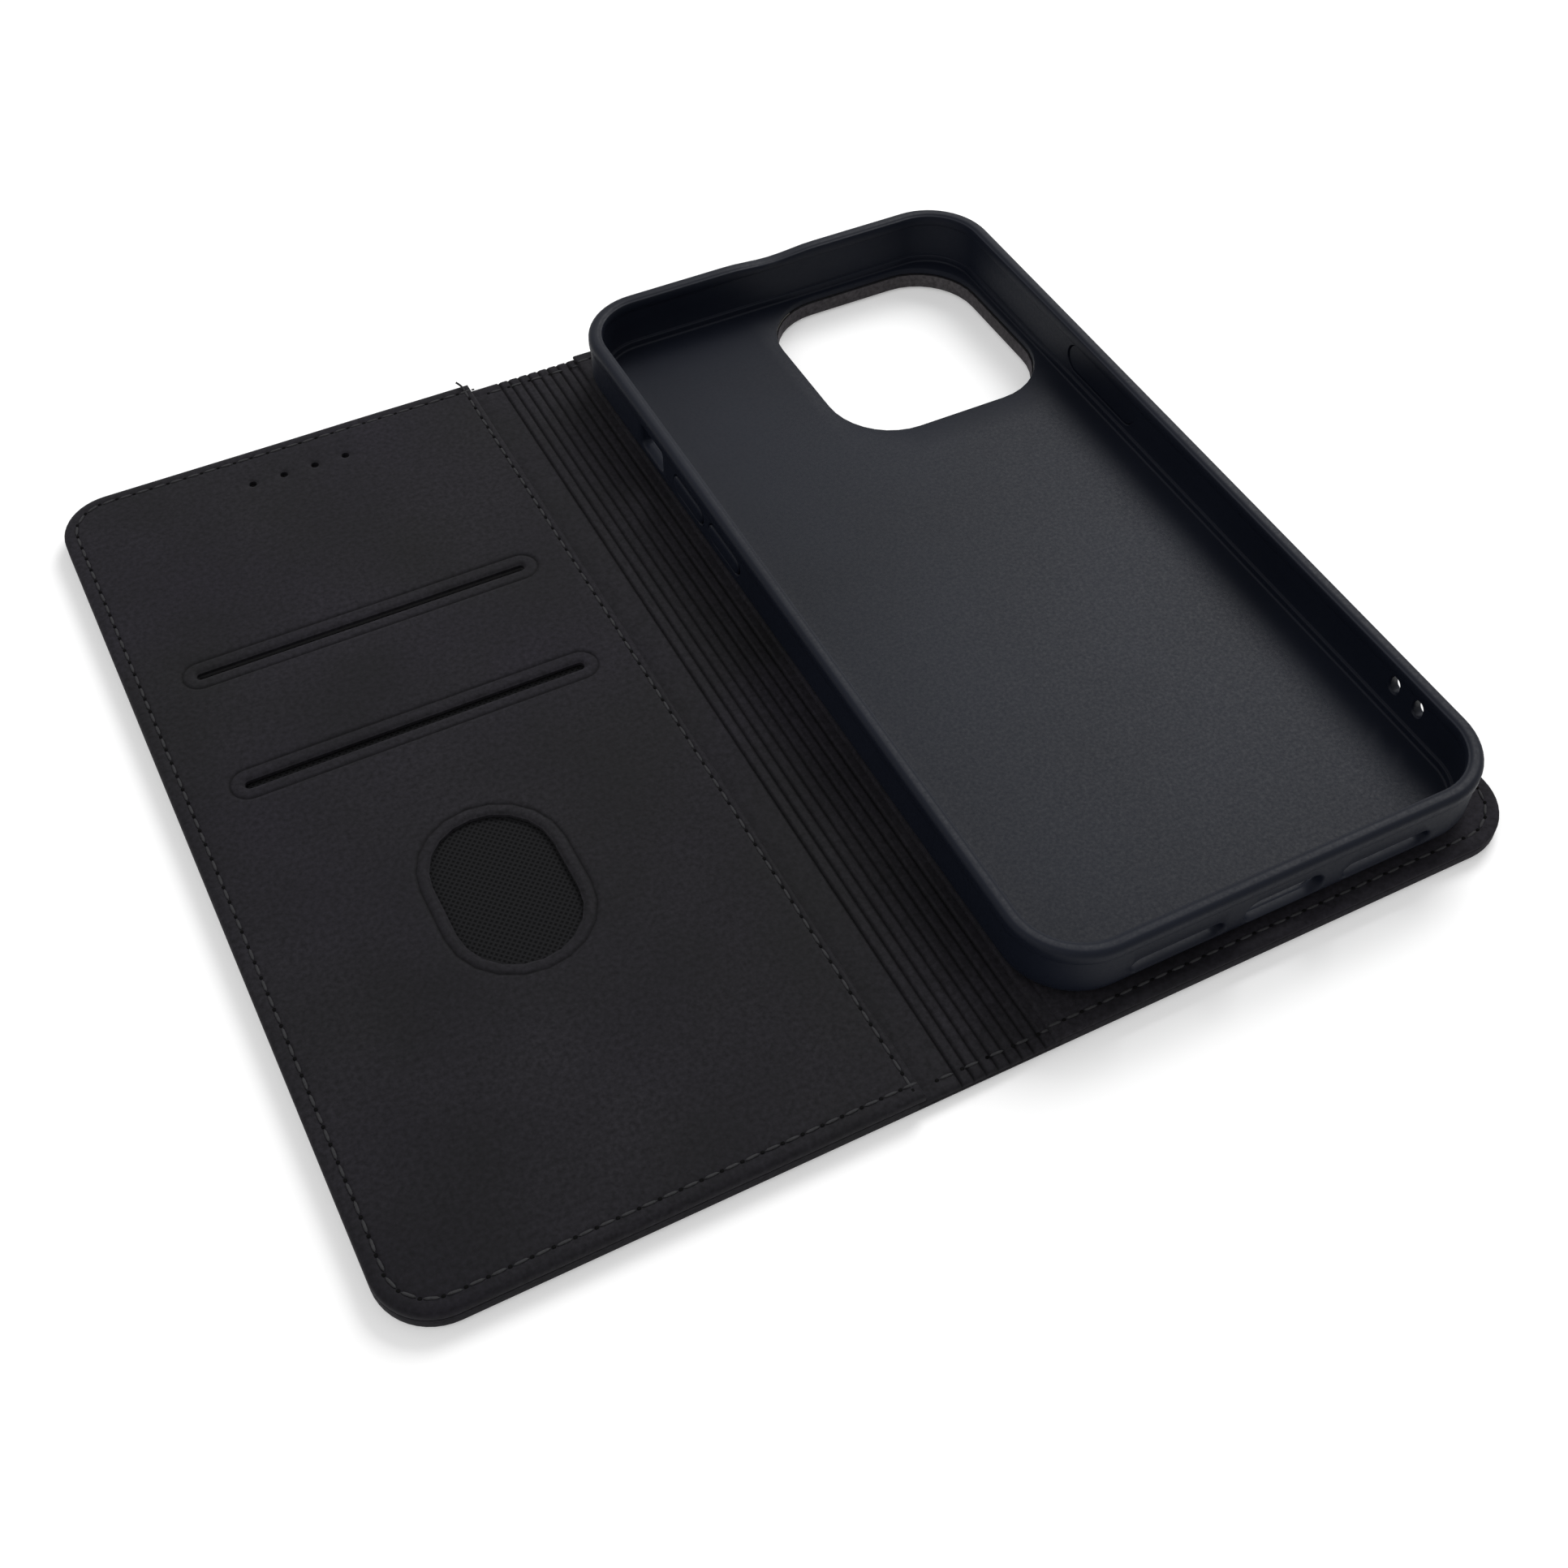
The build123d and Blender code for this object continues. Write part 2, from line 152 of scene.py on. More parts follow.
wire(white_tree, far_place.outputs["Object"], far_length.inputs[0])
wire(white_tree, far_length.outputs["Value"], far_share.inputs["Value"])
wire(white_tree, far_share.outputs[0], far_fade.inputs[0])
wire(white_tree, white_sum.outputs[0], far_fade.inputs[1])
wire(white_tree, far_white.outputs[0], far_fade.inputs[2])
wire(white_tree, far_fade.outputs[0], white_pick.inputs[2])
wire(white_tree, white_pick.outputs[0], white_tree.nodes["Material Output"].inputs[0])
table_mesh.materials.append(table_white)

# ---------------------------------------------------------------------------------------------------
# Outer skin of the front cover: thin brushed black leatherette, glued under the board, its border
# turned up round the board's edge. Four earpiece holes are punched near its top.
mm = 0.001
cover_length = 169.0
front_edge_x = -90.45
front_end_x = -15.4
front_radius = 9.0
hole_xs = [-57.65, -52.05, -46.45, -40.85]
hole_y = 75.6
hole_radius = 0.7
side_runs = 24
corner_runs = 12
edge_runs = 48


def leatherette(name, dark, light, grain_depth):
    """Matte leatherette: cloudy patches, a fine grain and a soft worn bloom in its roughness, with painted
    shade darkening its colour along pressed lines and grooves.
    """
    made = bpy.data.materials.new(name)
    made.use_nodes = True
    tree = made.node_tree
    shader = tree.nodes["Principled BSDF"]
    place = shader_node(tree, "ShaderNodeTexCoord").outputs["Object"]
    clouds = shader_node(tree, "ShaderNodeTexNoise", Scale=46.0, Detail=2.0, Roughness=0.45)
    tint = shader_node(tree, "ShaderNodeTexNoise", Scale=31.0, Detail=2.0)
    nap = shader_node(tree, "ShaderNodeTexNoise", Scale=1300.0, Detail=3.0, Roughness=0.6)
    pores = shader_node(tree, "ShaderNodeTexVoronoi", Scale=1500.0)
    for texture in (clouds, tint, nap, pores):
        wire(tree, place, texture.inputs["Vector"])
    ramp = shader_node(tree, "ShaderNodeValToRGB")
    ramp.color_ramp.elements[0].position = 0.32
    ramp.color_ramp.elements[1].position = 0.7
    ramp.color_ramp.elements[0].color = (*dark, 1)
    ramp.color_ramp.elements[1].color = (*light, 1)
    wire(tree, clouds.outputs["Fac"], ramp.inputs[0])
    plum = shader_node(tree, "ShaderNodeMix", data_type="RGBA", blend_type="MULTIPLY")
    plum.inputs["B"].default_value = (1.0, 0.9, 1.22, 1)
    wire(tree, tint.outputs["Fac"], plum.inputs["Factor"])
    wire(tree, ramp.outputs[0], plum.inputs["A"])
    speck = shader_node(tree, "ShaderNodeMapRange", From_Min=0.3, From_Max=0.7, To_Min=0.6, To_Max=1.4)
    wire(tree, nap.outputs["Fac"], speck.inputs["Value"])
    coloured = shader_node(tree, "ShaderNodeVectorMath", operation="SCALE")
    wire(tree, plum.outputs["Result"], coloured.inputs[0])
    # Painted shade: the colour is darkened down to 0.4 of itself along pressed lines and grooves, from an
    # attribute stored on the mesh.
    pressed_shade = shader_node(tree, "ShaderNodeAttribute", attribute_name="pressed_shade")
    shade = shader_node(tree, "ShaderNodeMapRange", To_Min=1.0, To_Max=0.4)
    shade_and_speck = shader_node(tree, "ShaderNodeMath", operation="MULTIPLY")
    wire(tree, pressed_shade.outputs["Fac"], shade.inputs["Value"])
    wire(tree, shade.outputs[0], shade_and_speck.inputs[0])
    wire(tree, speck.outputs[0], shade_and_speck.inputs[1])
    wire(tree, shade_and_speck.outputs[0], coloured.inputs["Scale"])
    wire(tree, coloured.outputs[0], shader.inputs["Base Color"])
    bloom = shader_node(tree, "ShaderNodeMapRange", From_Min=0.3, From_Max=0.7, To_Min=0.66, To_Max=0.84)
    wire(tree, clouds.outputs["Fac"], bloom.inputs["Value"])
    wire(tree, bloom.outputs[0], shader.inputs["Roughness"])
    relief = shader_node(tree, "ShaderNodeMath", operation="ADD")
    wire(tree, nap.outputs["Fac"], relief.inputs[0])
    wire(tree, pores.outputs["Distance"], relief.inputs[1])
    bump = shader_node(tree, "ShaderNodeBump", Strength=0.5, Distance=grain_depth * mm)
    wire(tree, relief.outputs[0], bump.inputs["Height"])
    wire(tree, bump.outputs[0], shader.inputs["Normal"])
    shader.inputs["Specular IOR Level"].default_value = 0.09
    shader.inputs["Sheen Weight"].default_value = 0.012
    shader.inputs["Sheen Roughness"].default_value = 0.5
    return made


outer_leather = leatherette("outer_leather", (0.0075, 0.0075, 0.0078), (0.0152, 0.015, 0.0157), 0.06)


def cover_outline(edge_x, fold_x, radius, inset, fold_inset, height):
    """A loop of points round a cover, in millimetres: square at its fold, rounded at its free edge."""
    way = 1 if fold_x > edge_x else -1
    edge = edge_x + way * inset
    fold = fold_x - way * fold_inset
    half = cover_length / 2 - inset
    bend = radius - inset
    corner = [math.pi / 2 * k / corner_runs for k in range(corner_runs + 1)]
    points = [(fold + (edge + way * bend - fold) * k / side_runs, -half) for k in range(side_runs)]
    for turn in corner:
        points.append((edge + way * bend * (1 - math.sin(turn)), -half + bend * (1 - math.cos(turn))))
    points += [(edge, (2 * k / edge_runs - 1) * (half - bend)) for k in range(1, edge_runs)]
    for turn in corner:
        points.append((edge + way * bend * (1 - math.cos(turn)), half - bend * (1 - math.sin(turn))))
    for k in range(1, side_runs + 1):
        points.append((edge + way * bend + (fold - edge - way * bend) * k / side_runs, half))
    points += [(fold, half * (1 - 2 * k / edge_runs)) for k in range(1, edge_runs)]
    return [(x, y, height) for x, y in points]


def round_hole(x, y, radius, height, sides=16):
    """A loop of points round a small hole."""
    turns = [2 * math.pi * k / sides for k in range(sides)]
    return [(x + radius * math.cos(t), y + radius * math.sin(t), height) for t in turns]


def inside(places, loops):
    """Which places lie inside an odd number of the loops."""
    found = np.zeros(len(places), bool)
    for loop in loops:
        a = np.array([p[:2] for p in loop])
        b = np.roll(a, -1, 0)
        rise = np.where(b[:, 1] == a[:, 1], 1e-12, b[:, 1] - a[:, 1])
        spans = (a[None, :, 1] > places[:, None, 1]) != (b[None, :, 1] > places[:, None, 1])
        cross = a[:, 0] + (places[:, None, 1] - a[:, 1]) * (b[:, 0] - a[:, 0]) / rise
        found ^= (spans & (places[:, None, 0] < cross)).sum(1) % 2 == 1
    return found


def gap_to(places, loops):
    """Each place's distance to the nearest loop."""
    nearest = np.full(len(places), 1e9)
    for loop in loops:
        a = np.array([p[:2] for p in loop])
        run = np.roll(a, -1, 0) - a
        from_a = places[:, None, :] - a
        share = np.clip((from_a * run).sum(2) / np.maximum((run * run).sum(1), 1e-12), 0, 1)
        gaps = np.hypot(*np.moveaxis(from_a - share[..., None] * run, 2, 0)).min(1)
        nearest = np.minimum(nearest, gaps)
    return nearest


def fill_face(mesh, loops, height=None, creases=(), spacing=0.0):
    """Fills a face between an outer loop of vertices and its holes, with extra points where it isn't flat."""
    bounds = [[v.co.to_tuple() for v in loop] for loop in loops]
    fixed = [v for loop in loops for v in loop]
    lines = bounds + list(creases)
    spots = [p[:2] for loop in lines for p in loop]
    edges = []
    for loop in lines:
        start = len(edges)
        edges += [(start + k, start + (k + 1) % len(loop)) for k in range(len(loop))]
    if spacing:
        low = np.array(bounds[0])[:, :2].min(0)
        high = np.array(bounds[0])[:, :2].max(0)
        grid = np.array([
            (x, y) for x in np.arange(low[0], high[0], spacing) for y in np.arange(low[1], high[1], spacing)
        ])
        grid = grid[inside(grid, bounds)]
        grid = grid[gap_to(grid, lines) > 0.4 * spacing]
        spots += [tuple(g) for g in grid]
    found = geometry.delaunay_2d_cdt([Vector(p) for p in spots], edges, [], 0, 1e-5)
    rims = len(fixed)
    barriers = {frozenset(e) for e, origin in zip(found[1], found[4]) if any(k < rims for k in origin)}
    verts = []
    for place, origin in zip(found[0], found[3]):
        if origin and min(origin) < rims:
            verts.append(fixed[min(origin)])
        else:
            verts.append(mesh.verts.new((place.x, place.y, height(place.x, place.y))))
    across = {}
    for number, face in enumerate(found[2]):
        for k in range(3):
            across.setdefault(frozenset((face[k], face[k - 1])), []).append(number)
    middles = np.array([np.mean([found[0][k] for k in face], axis=0) for face in found[2]])
    sizes = [geometry.area_tri(*[found[0][k] for k in face]) for face in found[2]]
    kept = inside(middles, bounds)
    settled = set()
    for first in sorted(range(len(sizes)), key=lambda k: -sizes[k]):
        reached = [first] if first not in settled else []
        while reached:
            number = reached.pop()
            settled.add(number)
            kept[number] = kept[first]
            face = found[2][number]
            for k in range(3):
                pair = frozenset((face[k], face[k - 1]))
                if pair not in barriers:
                    reached += [other for other in across[pair] if other not in settled]
    for face, stays in zip(found[2], kept):
        if stays:
            mesh.faces.new([verts[k] for k in face])


def bridge(mesh, first, second):
    """Quads between two loops of vertices."""
    for k in range(len(first)):
        after = (k + 1) % len(first)
        mesh.faces.new((first[k], first[after], second[after], second[k]))


def closed_piece(name, rings, holes=(), height=None, creases=(), spacing=0.0, shape=None):
    """A closed piece from loops stacked from one face to the other, and the loops of each hole through it."""
    mesh = bmesh.new()
    stacks = []
    for stack in [rings, *holes]:
        loops = [[mesh.verts.new(p) for p in ring] for ring in stack]
        for lower, upper in zip(loops, loops[1:]):
            bridge(mesh, lower, upper)
        stacks.append(loops)
    fill_face(mesh, [stack[0] for stack in stacks])
    fill_face(mesh, [stack[-1] for stack in stacks], height, creases, spacing)
    if shape:
        for v in mesh.verts:
            v.co = shape(v.co)
    return finished(name, mesh)


def finished(name, mesh, smooth_angle=40):
    """Turns the faces outwards, goes from millimetres to metres and makes the object."""
    bmesh.ops.remove_doubles(mesh, verts=mesh.verts, dist=1e-5)
    bmesh.ops.recalc_face_normals(mesh, faces=mesh.faces)
    bmesh.ops.scale(mesh, vec=(mm, mm, mm), verts=mesh.verts)
    data = bpy.data.meshes.new(name)
    mesh.to_mesh(data)
    mesh.free()
    data.set_sharp_from_angle(angle=math.radians(smooth_angle))
    for face in data.polygons:
        face.use_smooth = True
    made = bpy.data.objects.new(name, data)
    bpy.context.collection.objects.link(made)
    return made


def slack(x, y, size):
    """The slight unevenness of glued leather, in millimetres."""
    return size * noise.noise(Vector((x / 23, y / 29, size * 9)))


def underside(point):
    """Lifts the skin's outer face a little, unevenly, so that it isn't dead flat."""
    x, y, z = point
    return Vector((x, y, z + max(0.0, 0.04 + slack(x, y, 0.06)) if z < 0.02 else z))


def skin_rings(edge_x, end_x, radius, top):
    """Loops of an outer skin, from its glued face, over its turned border, to its outer face."""
    steps = [
        (0.9, 0.9, 0.9), (0.9, 0.9, top), (0.2, 0.2, top), (0.04, 0.04, top - 0.06), (0.0, 0.0, top - 0.25),
        (0.0, 0.0, 0.55), (0.06, 0.0, 0.3), (0.2, 0.0, 0.11), (0.45, 0.0, 0.0),
    ]
    return [cover_outline(edge_x, end_x, radius, inset, fold, z) for inset, fold, z in steps]


def punched(x, y, radius, levels):
    """Loops of a hole punched through a sheet, one at each level with its extra radius."""
    return [round_hole(x, y, radius + extra, z) for extra, z in levels]


front_skin = closed_piece(
    "front_skin_leather",
    skin_rings(front_edge_x, front_end_x, front_radius, 2.1),
    [punched(x, hole_y, hole_radius, [(0.0, 0.9), (0.0, 0.2), (0.18, 0.0)]) for x in hole_xs],
    lambda x, y: 0.0, spacing=4.0, shape=underside,
)
front_skin.data.materials.append(outer_leather)
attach(front_skin, "front_cover")
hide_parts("front_skin")

# ---------------------------------------------------------------------------------------------------
# Sewn inner panel of the front cover: leatherette over thin foam, with two card slots, a thumb window
# and a pressed line round each, its colour darkened there with painted shade. Its border is rounded over and
# stitched down to the skin.
panel_edge_x = -14.35
slot_x = -51.55
slot_ys = [(35.3, 1.3), (10.0, 1.6)]
slot_length = 56.1
window_y = -25.9
window_width = 19.0
window_length = 28.5
pressed_offset = 2.25
window_pressed_offset = 1.95
panel_top = 3.9

lining_leather = leatherette("lining_leather", (0.0076, 0.0076, 0.008), (0.0158, 0.0155, 0.0164), 0.05)


def capsule(x, y, length, width, offset, height, upright=False):
    """A loop of points round a slot with round ends, at a distance outside its edge."""
    radius = width / 2 + offset
    reach = (length - width) / 2
    runs = max(2, round(2 * reach / 2.2))
    points = []
    for side in (1, -1):
        for k in range(11):
            turn = -math.pi / 2 + math.pi * k / 10
            points.append((side * (reach + radius * math.cos(turn)), side * radius * math.sin(turn)))
        points += [(side * (reach - 2 * reach * k / runs), side * radius) for k in range(1, runs)]
    if upright:
        points = [(-b, a) for a, b in points]
    return [(x + a, y + b, height) for a, b in points]


def capsule_distance(px, py, x, y, length, width, upright=False):
    """Distance outside a slot's edge."""
    a, b = (py - y, px - x) if upright else (px - x, py - y)
    reach = (length - width) / 2
    return math.hypot(max(abs(a) - reach, 0), b) - width / 2


def panel_height(x, y):
    """Height of the panel's face: rounded down at its cut edges and pressed in along its tooled lines."""
    z = panel_top
    for slot_y, width in slot_ys:
        d = capsule_distance(x, y, slot_x, slot_y, slot_length, width)
        z -= 0.34 * math.exp(-((max(d, 0) / 0.32) ** 2))
        z -= 0.24 * math.exp(-(((d - pressed_offset) / 0.26) ** 2))
        z -= 0.07 * math.exp(-((d / 2.0) ** 2))
    d = capsule_distance(x, y, slot_x, window_y, window_length, window_width, True)
    z -= 0.38 * math.exp(-((max(d, 0) / 0.35) ** 2))
    z -= 0.24 * math.exp(-(((d - window_pressed_offset) / 0.28) ** 2))
    for hole_x in hole_xs:
        d = math.hypot(x - hole_x, y - hole_y) - hole_radius
        z -= 0.2 * math.exp(-((max(d, 0) / 0.3) ** 2))
    return z


def panel_pressed_shade(point):
    """How much painted shade darkens the panel's face at its pressed lines: 1 on a pressed line, 0 away from
    it.
    """
    x, y, z = point
    gaps = [
        capsule_distance(x, y, slot_x, slot_y, slot_length, width) - pressed_offset
        for slot_y, width in slot_ys
    ]
    gaps.append(
        capsule_distance(x, y, slot_x, window_y, window_length, window_width, True) - window_pressed_offset
    )
    return max(math.exp(-((gap / 0.24) ** 2)) for gap in gaps) if z > 3 else 0.0


def mark_pressed_shade(piece, shade_share):
    """Stores how far each point is pressed in, as the painted shade that darkens the leather's colour there.
    """
    shares = [shade_share(v.co / mm) for v in piece.data.vertices]
    piece.data.attributes.new("pressed_shade", "FLOAT", "POINT").data.foreach_set("value", shares)


def panel_shape(point):
    """Adds the padded panel's slight unevenness to its upper face."""
    x, y, z = point
    return Vector((x, y, z + slack(x, y, 0.09) * min(1, max(0, z - 3.0))))


panel_steps = [
    (0.9, 0.9, 2.9), (0.9, 0.9, 2.12), (0.25, 0.25, 2.12), (0.06, 0.06, 2.2), (0.0, 0.0, 2.4),
    (0.0, 0.0, 3.0), (0.05, 0.04, 3.3), (0.2, 0.15, 3.56), (0.45, 0.3, 3.76), (0.8, 0.5, 3.87),
    (1.25, 0.75, 3.91), (1.7, 0.95, 3.89), (1.95, 1.1, 3.83), (2.13, 1.22, 3.77), (2.25, 1.32, 3.75),
    (2.37, 1.42, 3.77), (2.55, 1.56, 3.83), (2.8, 1.75, 3.88), (3.4, 2.3, 3.9),
]
panel_rings = [cover_outline(front_edge_x, panel_edge_x, front_radius, a, b, z) for a, b, z in panel_steps]
panel_holes = []
panel_creases = []
for slot_y, width in slot_ys:
    slot_levels = (2.9, 3.2, panel_top - 0.42)
    panel_holes.append([capsule(slot_x, slot_y, slot_length, width, 0, z) for z in slot_levels])
    for offset in (0.12, 0.3, 0.55, 0.95, 1.6, 1.9, 2.08, 2.25, 2.42, 2.6, 3.0):
        panel_creases.append(capsule(slot_x, slot_y, slot_length, width, offset, 0))
panel_holes.append([
    capsule(slot_x, window_y, window_length, window_width, 0, z, True) for z in (2.9, 3.2, panel_top - 0.38)
])
for offset in (0.12, 0.3, 0.55, 0.9, 1.3, 1.6, 1.8, 1.95, 2.1, 2.3, 2.7):
    panel_creases.append(capsule(slot_x, window_y, window_length, window_width, offset, 0, True))
for hole_x in hole_xs:
    panel_holes.append([round_hole(hole_x, hole_y, hole_radius, z) for z in (2.9, 3.3, panel_top - 0.2)])
    panel_creases += [round_hole(hole_x, hole_y, hole_radius + offset, 0) for offset in (0.12, 0.3, 0.55)]
panel = closed_piece(
    "pocket_panel_leather", panel_rings, panel_holes, panel_height, panel_creases, 2.6, panel_shape
)
# Painted shade darkens the panel's pressed lines round the slots and the window.
mark_pressed_shade(panel, panel_pressed_shade)
panel.data.materials.append(lining_leather)
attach(panel, "front_cover")
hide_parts("pocket_panel")

# ---------------------------------------------------------------------------------------------------
# Pocket cloth: two sheets of black woven cloth behind the slots, and one more under them over the
# board. They show as a fine weave through the thumb window and as dark slits through the card slots.
pocket_cloth = bpy.data.materials.new("pocket_cloth")
pocket_cloth.use_nodes = True
cloth_tree = pocket_cloth.node_tree
cloth_shader = cloth_tree.nodes["Principled BSDF"]
cloth_place = shader_node(cloth_tree, "ShaderNodeTexCoord").outputs["Object"]
turned_place = shader_node(cloth_tree, "ShaderNodeMapping")
turned_place.inputs["Rotation"].default_value = (0, 0, math.radians(45))
wire(cloth_tree, cloth_place, turned_place.inputs["Vector"])
yarn = {"Scale": 420.0, "Distortion": 0.6, "Detail": 1.0}
warp = shader_node(cloth_tree, "ShaderNodeTexWave", bands_direction="X", **yarn)
weft = shader_node(cloth_tree, "ShaderNodeTexWave", bands_direction="Y", **yarn)
weave = shader_node(cloth_tree, "ShaderNodeMath", operation="MAXIMUM")
for band, socket in ((warp, 0), (weft, 1)):
    wire(cloth_tree, turned_place.outputs[0], band.inputs["Vector"])
    wire(cloth_tree, band.outputs["Fac"], weave.inputs[socket])
weave_colour = shader_node(cloth_tree, "ShaderNodeValToRGB")
weave_colour.color_ramp.elements[0].color = (0.0018, 0.0018, 0.002, 1)
weave_colour.color_ramp.elements[1].color = (0.0125, 0.0125, 0.0135, 1)
wire(cloth_tree, weave.outputs[0], weave_colour.inputs[0])
wire(cloth_tree, weave_colour.outputs[0], cloth_shader.inputs["Base Color"])
weave_bump = shader_node(cloth_tree, "ShaderNodeBump", Strength=0.8, Distance=0.12 * mm)
wire(cloth_tree, weave.outputs[0], weave_bump.inputs["Height"])
wire(cloth_tree, weave_bump.outputs[0], cloth_shader.inputs["Normal"])
cloth_shader.inputs["Roughness"].default_value = 0.85
cloth_shader.inputs["Specular IOR Level"].default_value = 0.05
cloth_shader.inputs["Sheen Weight"].default_value = 0.004


def cloth_sheet(node):
    """One flat sheet of pocket cloth in its CAD place, slightly slack."""
    low, high = [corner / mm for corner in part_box(node)]
    width, length = high.x - low.x, high.y - low.y
    middle_x, middle_y = (low.x + high.x) / 2, (low.y + high.y) / 2
    across = [low.x + width * k / 20 for k in range(21)]
    along = [low.y + length * k / 28 for k in range(29)]
    loop = [(x, low.y) for x in across[:-1]] + [(high.x, y) for y in along[:-1]]
    loop += [(x, high.y) for x in across[:0:-1]] + [(low.x, y) for y in along[:0:-1]]
    rings = [[(x, y, z) for x, y in loop] for z in (low.z + 0.02, high.z - 0.05)]
    made = closed_piece(
        node + "_cloth", rings, (), lambda x, y: high.z - 0.05, spacing=3.0,
        shape=lambda p: Vector((p.x, p.y, p.z + slack(p.x - middle_x, p.y - middle_y, 0.05))),
    )
    made.data.materials.append(pocket_cloth)
    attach(made, "front_cover")
    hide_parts(node)


cloth_sheet("card_pocket_upper")
cloth_sheet("card_pocket_lower")
backing_low, backing_high = [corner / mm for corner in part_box("pocket_backing")]
backing_rings = [
    cover_outline(front_edge_x, backing_high.x, front_radius, backing_low.x - front_edge_x, 0.0, z)
    for z in (backing_low.z + 0.02, backing_high.z - 0.05)
]
backing = closed_piece(
    "pocket_backing_cloth", backing_rings, (), lambda x, y: backing_high.z - 0.05, spacing=4.0,
    shape=lambda p: Vector((p.x, p.y, p.z + slack(p.x, p.y, 0.04))),
)
backing.data.materials.append(pocket_cloth)
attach(backing, "front_cover")
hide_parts("pocket_backing")

# ---------------------------------------------------------------------------------------------------
# Spine: one sheet of skin outside and one of lining inside, each made as three strips named for the places
# where
# the spine bends: the tray's edge, a groove and beside the front cover. Eight grooves are pressed along the
# lining's full length.
groove_xs = [-8.59 + 1.92 * k for k in range(8)]
groove_half_width = 0.36
groove_depth = 0.42
skin_profile = [(0.45, 0.0), (0.2, 0.11), (0.06, 0.3), (0.0, 0.55), (0.0, 0.8), (0.1, 0.88)]
lining_profile = [
    (0.12, 0.92), (0.0, 1.02), (0.0, 1.5), (0.08, 1.76), (0.28, 1.93), (0.6, 2.0), (1.7, 2.0), (1.98, 1.95),
    (2.25, 1.88), (2.52, 1.95), (2.8, 2.0),
]
fold_places = [
    ("tray_edge", "shell", "spine_grooved", 7.35, 3.6, 7.35, -0.91),
    ("groove", "spine_grooved", "spine_flat", -4.5, -8.85, -0.91, -8.95),
    ("front_cover", "spine_flat", "front_cover", -12.9, -15.4, -8.95, -15.4),
]


def groove_drop(x):
    """How far the lining's face is pressed down at a place across the spine."""
    nearest = min(abs(x - groove) for groove in groove_xs)
    return groove_depth * max(0.0, 1 - nearest / groove_half_width) ** 0.8


def strip(name, profile, low_z, high_z, start_x, end_x, grooved):
    """A strip of the spine, lofted from closed cross sections."""
    lowest = min(start_x, end_x)
    highest = max(start_x, end_x)
    stations = [groove_xs[-1] + 0.16 * k for k in range(-160, 40)]
    stations = [lowest] + [x for x in stations if lowest + 0.05 < x < highest - 0.05] + [highest]
    half = cover_length / 2
    inner = [half * (1 - 2 * k / 40) for k in range(1, 40)]
    mesh = bmesh.new()
    loops = []
    for x in stations:
        edge = [(half - inset, z) for inset, z in profile]
        face = [(y, high_z) for y in inner if abs(y) < half - profile[-1][0] - 1]
        far = [(-y, z) for y, z in reversed(edge)]
        back = [(-y, low_z) for y, _ in face if abs(y) < half - profile[0][0] - 1]
        loop = edge + face + far + back
        drop = groove_drop(x) if grooved else 0.0
        points = []
        for y, z in loop:
            if grooved and z > 1.4:
                z = z - drop * (z - 1.4) / 0.6 + slack(x * 2, y, 0.015)
            if not grooved and z == 0.0:
                z = max(0.0, 0.04 + slack(x, y, 0.06))
            points.append((x, y, z))
        loops.append([mesh.verts.new(p) for p in points])
    for first, second in zip(loops, loops[1:]):
        bridge(mesh, first, second)
    mesh.faces.new(loops[0])
    mesh.faces.new(loops[-1])
    bmesh.ops.triangulate(mesh, faces=[f for f in mesh.faces if len(f.verts) > 4])
    return finished(name, mesh)


for place, first_body, second_body, bend_start, bend_end, start_x, end_x in fold_places:
    skin = strip(f"spine_skin_{place}", skin_profile, 0.0, 0.9, start_x, end_x, False)
    lining = strip(f"spine_lining_{place}", lining_profile, 0.9, 2.0, start_x, end_x, True)
    # Painted shade darkens the lining's colour in its grooves.
    mark_pressed_shade(lining, lambda point: groove_drop(point.x) / groove_depth if point.z > 1.4 else 0.0)
    skin.data.materials.append(outer_leather)
    lining.data.materials.append(lining_leather)
    for sheet in (skin, lining):
        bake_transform(sheet)
    if place == "groove":
        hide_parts("spine_skin_grooved", "spine_skin_flat")
        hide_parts("spine_lining_grooved", "spine_lining_flat")

# ---------------------------------------------------------------------------------------------------
# Back cover: the same outer skin, turned up round the board and round the camera window, and a stitched
# lining on top of the board whose border shows round the tray.
back_edge_x = 90.45
back_end_x = 7.35
back_lining_end_x = 6.45
back_lining_top = 2.8
back_radius = 10.0
window_centre = (62.25, 57.45)
window_size = (41.4, 42.3)
window_radius = 12.0


def rounded_loop(centre, size, radius, inset, height, runs=10, corner=9):
    """A loop of points round a rounded rectangle, at a distance inside its edge."""
    half_x = size[0] / 2 - inset
    half_y = size[1] / 2 - inset
    bend = max(radius - inset, 0.2)
    corners = [(1, 1, 0), (-1, 1, 90), (-1, -1, 180), (1, -1, 270)]
    points = []
    for number, (sx, sy, start) in enumerate(corners):
        for k in range(corner + 1):
            turn = math.radians(start + 90 * k / corner)
            across = sx * (half_x - bend) + bend * math.cos(turn)
            points.append((across, sy * (half_y - bend) + bend * math.sin(turn)))
        nx, ny, following = corners[(number + 1) % 4]
        turn = math.radians(following)
        last = points[-1]
        ahead = (nx * (half_x - bend) + bend * math.cos(turn), ny * (half_y - bend) + bend * math.sin(turn))
        for k in range(1, runs):
            points.append(tuple(last[n] + (ahead[n] - last[n]) * k / runs for n in (0, 1)))
    return [(centre[0] + x, centre[1] + y, height) for x, y in points]


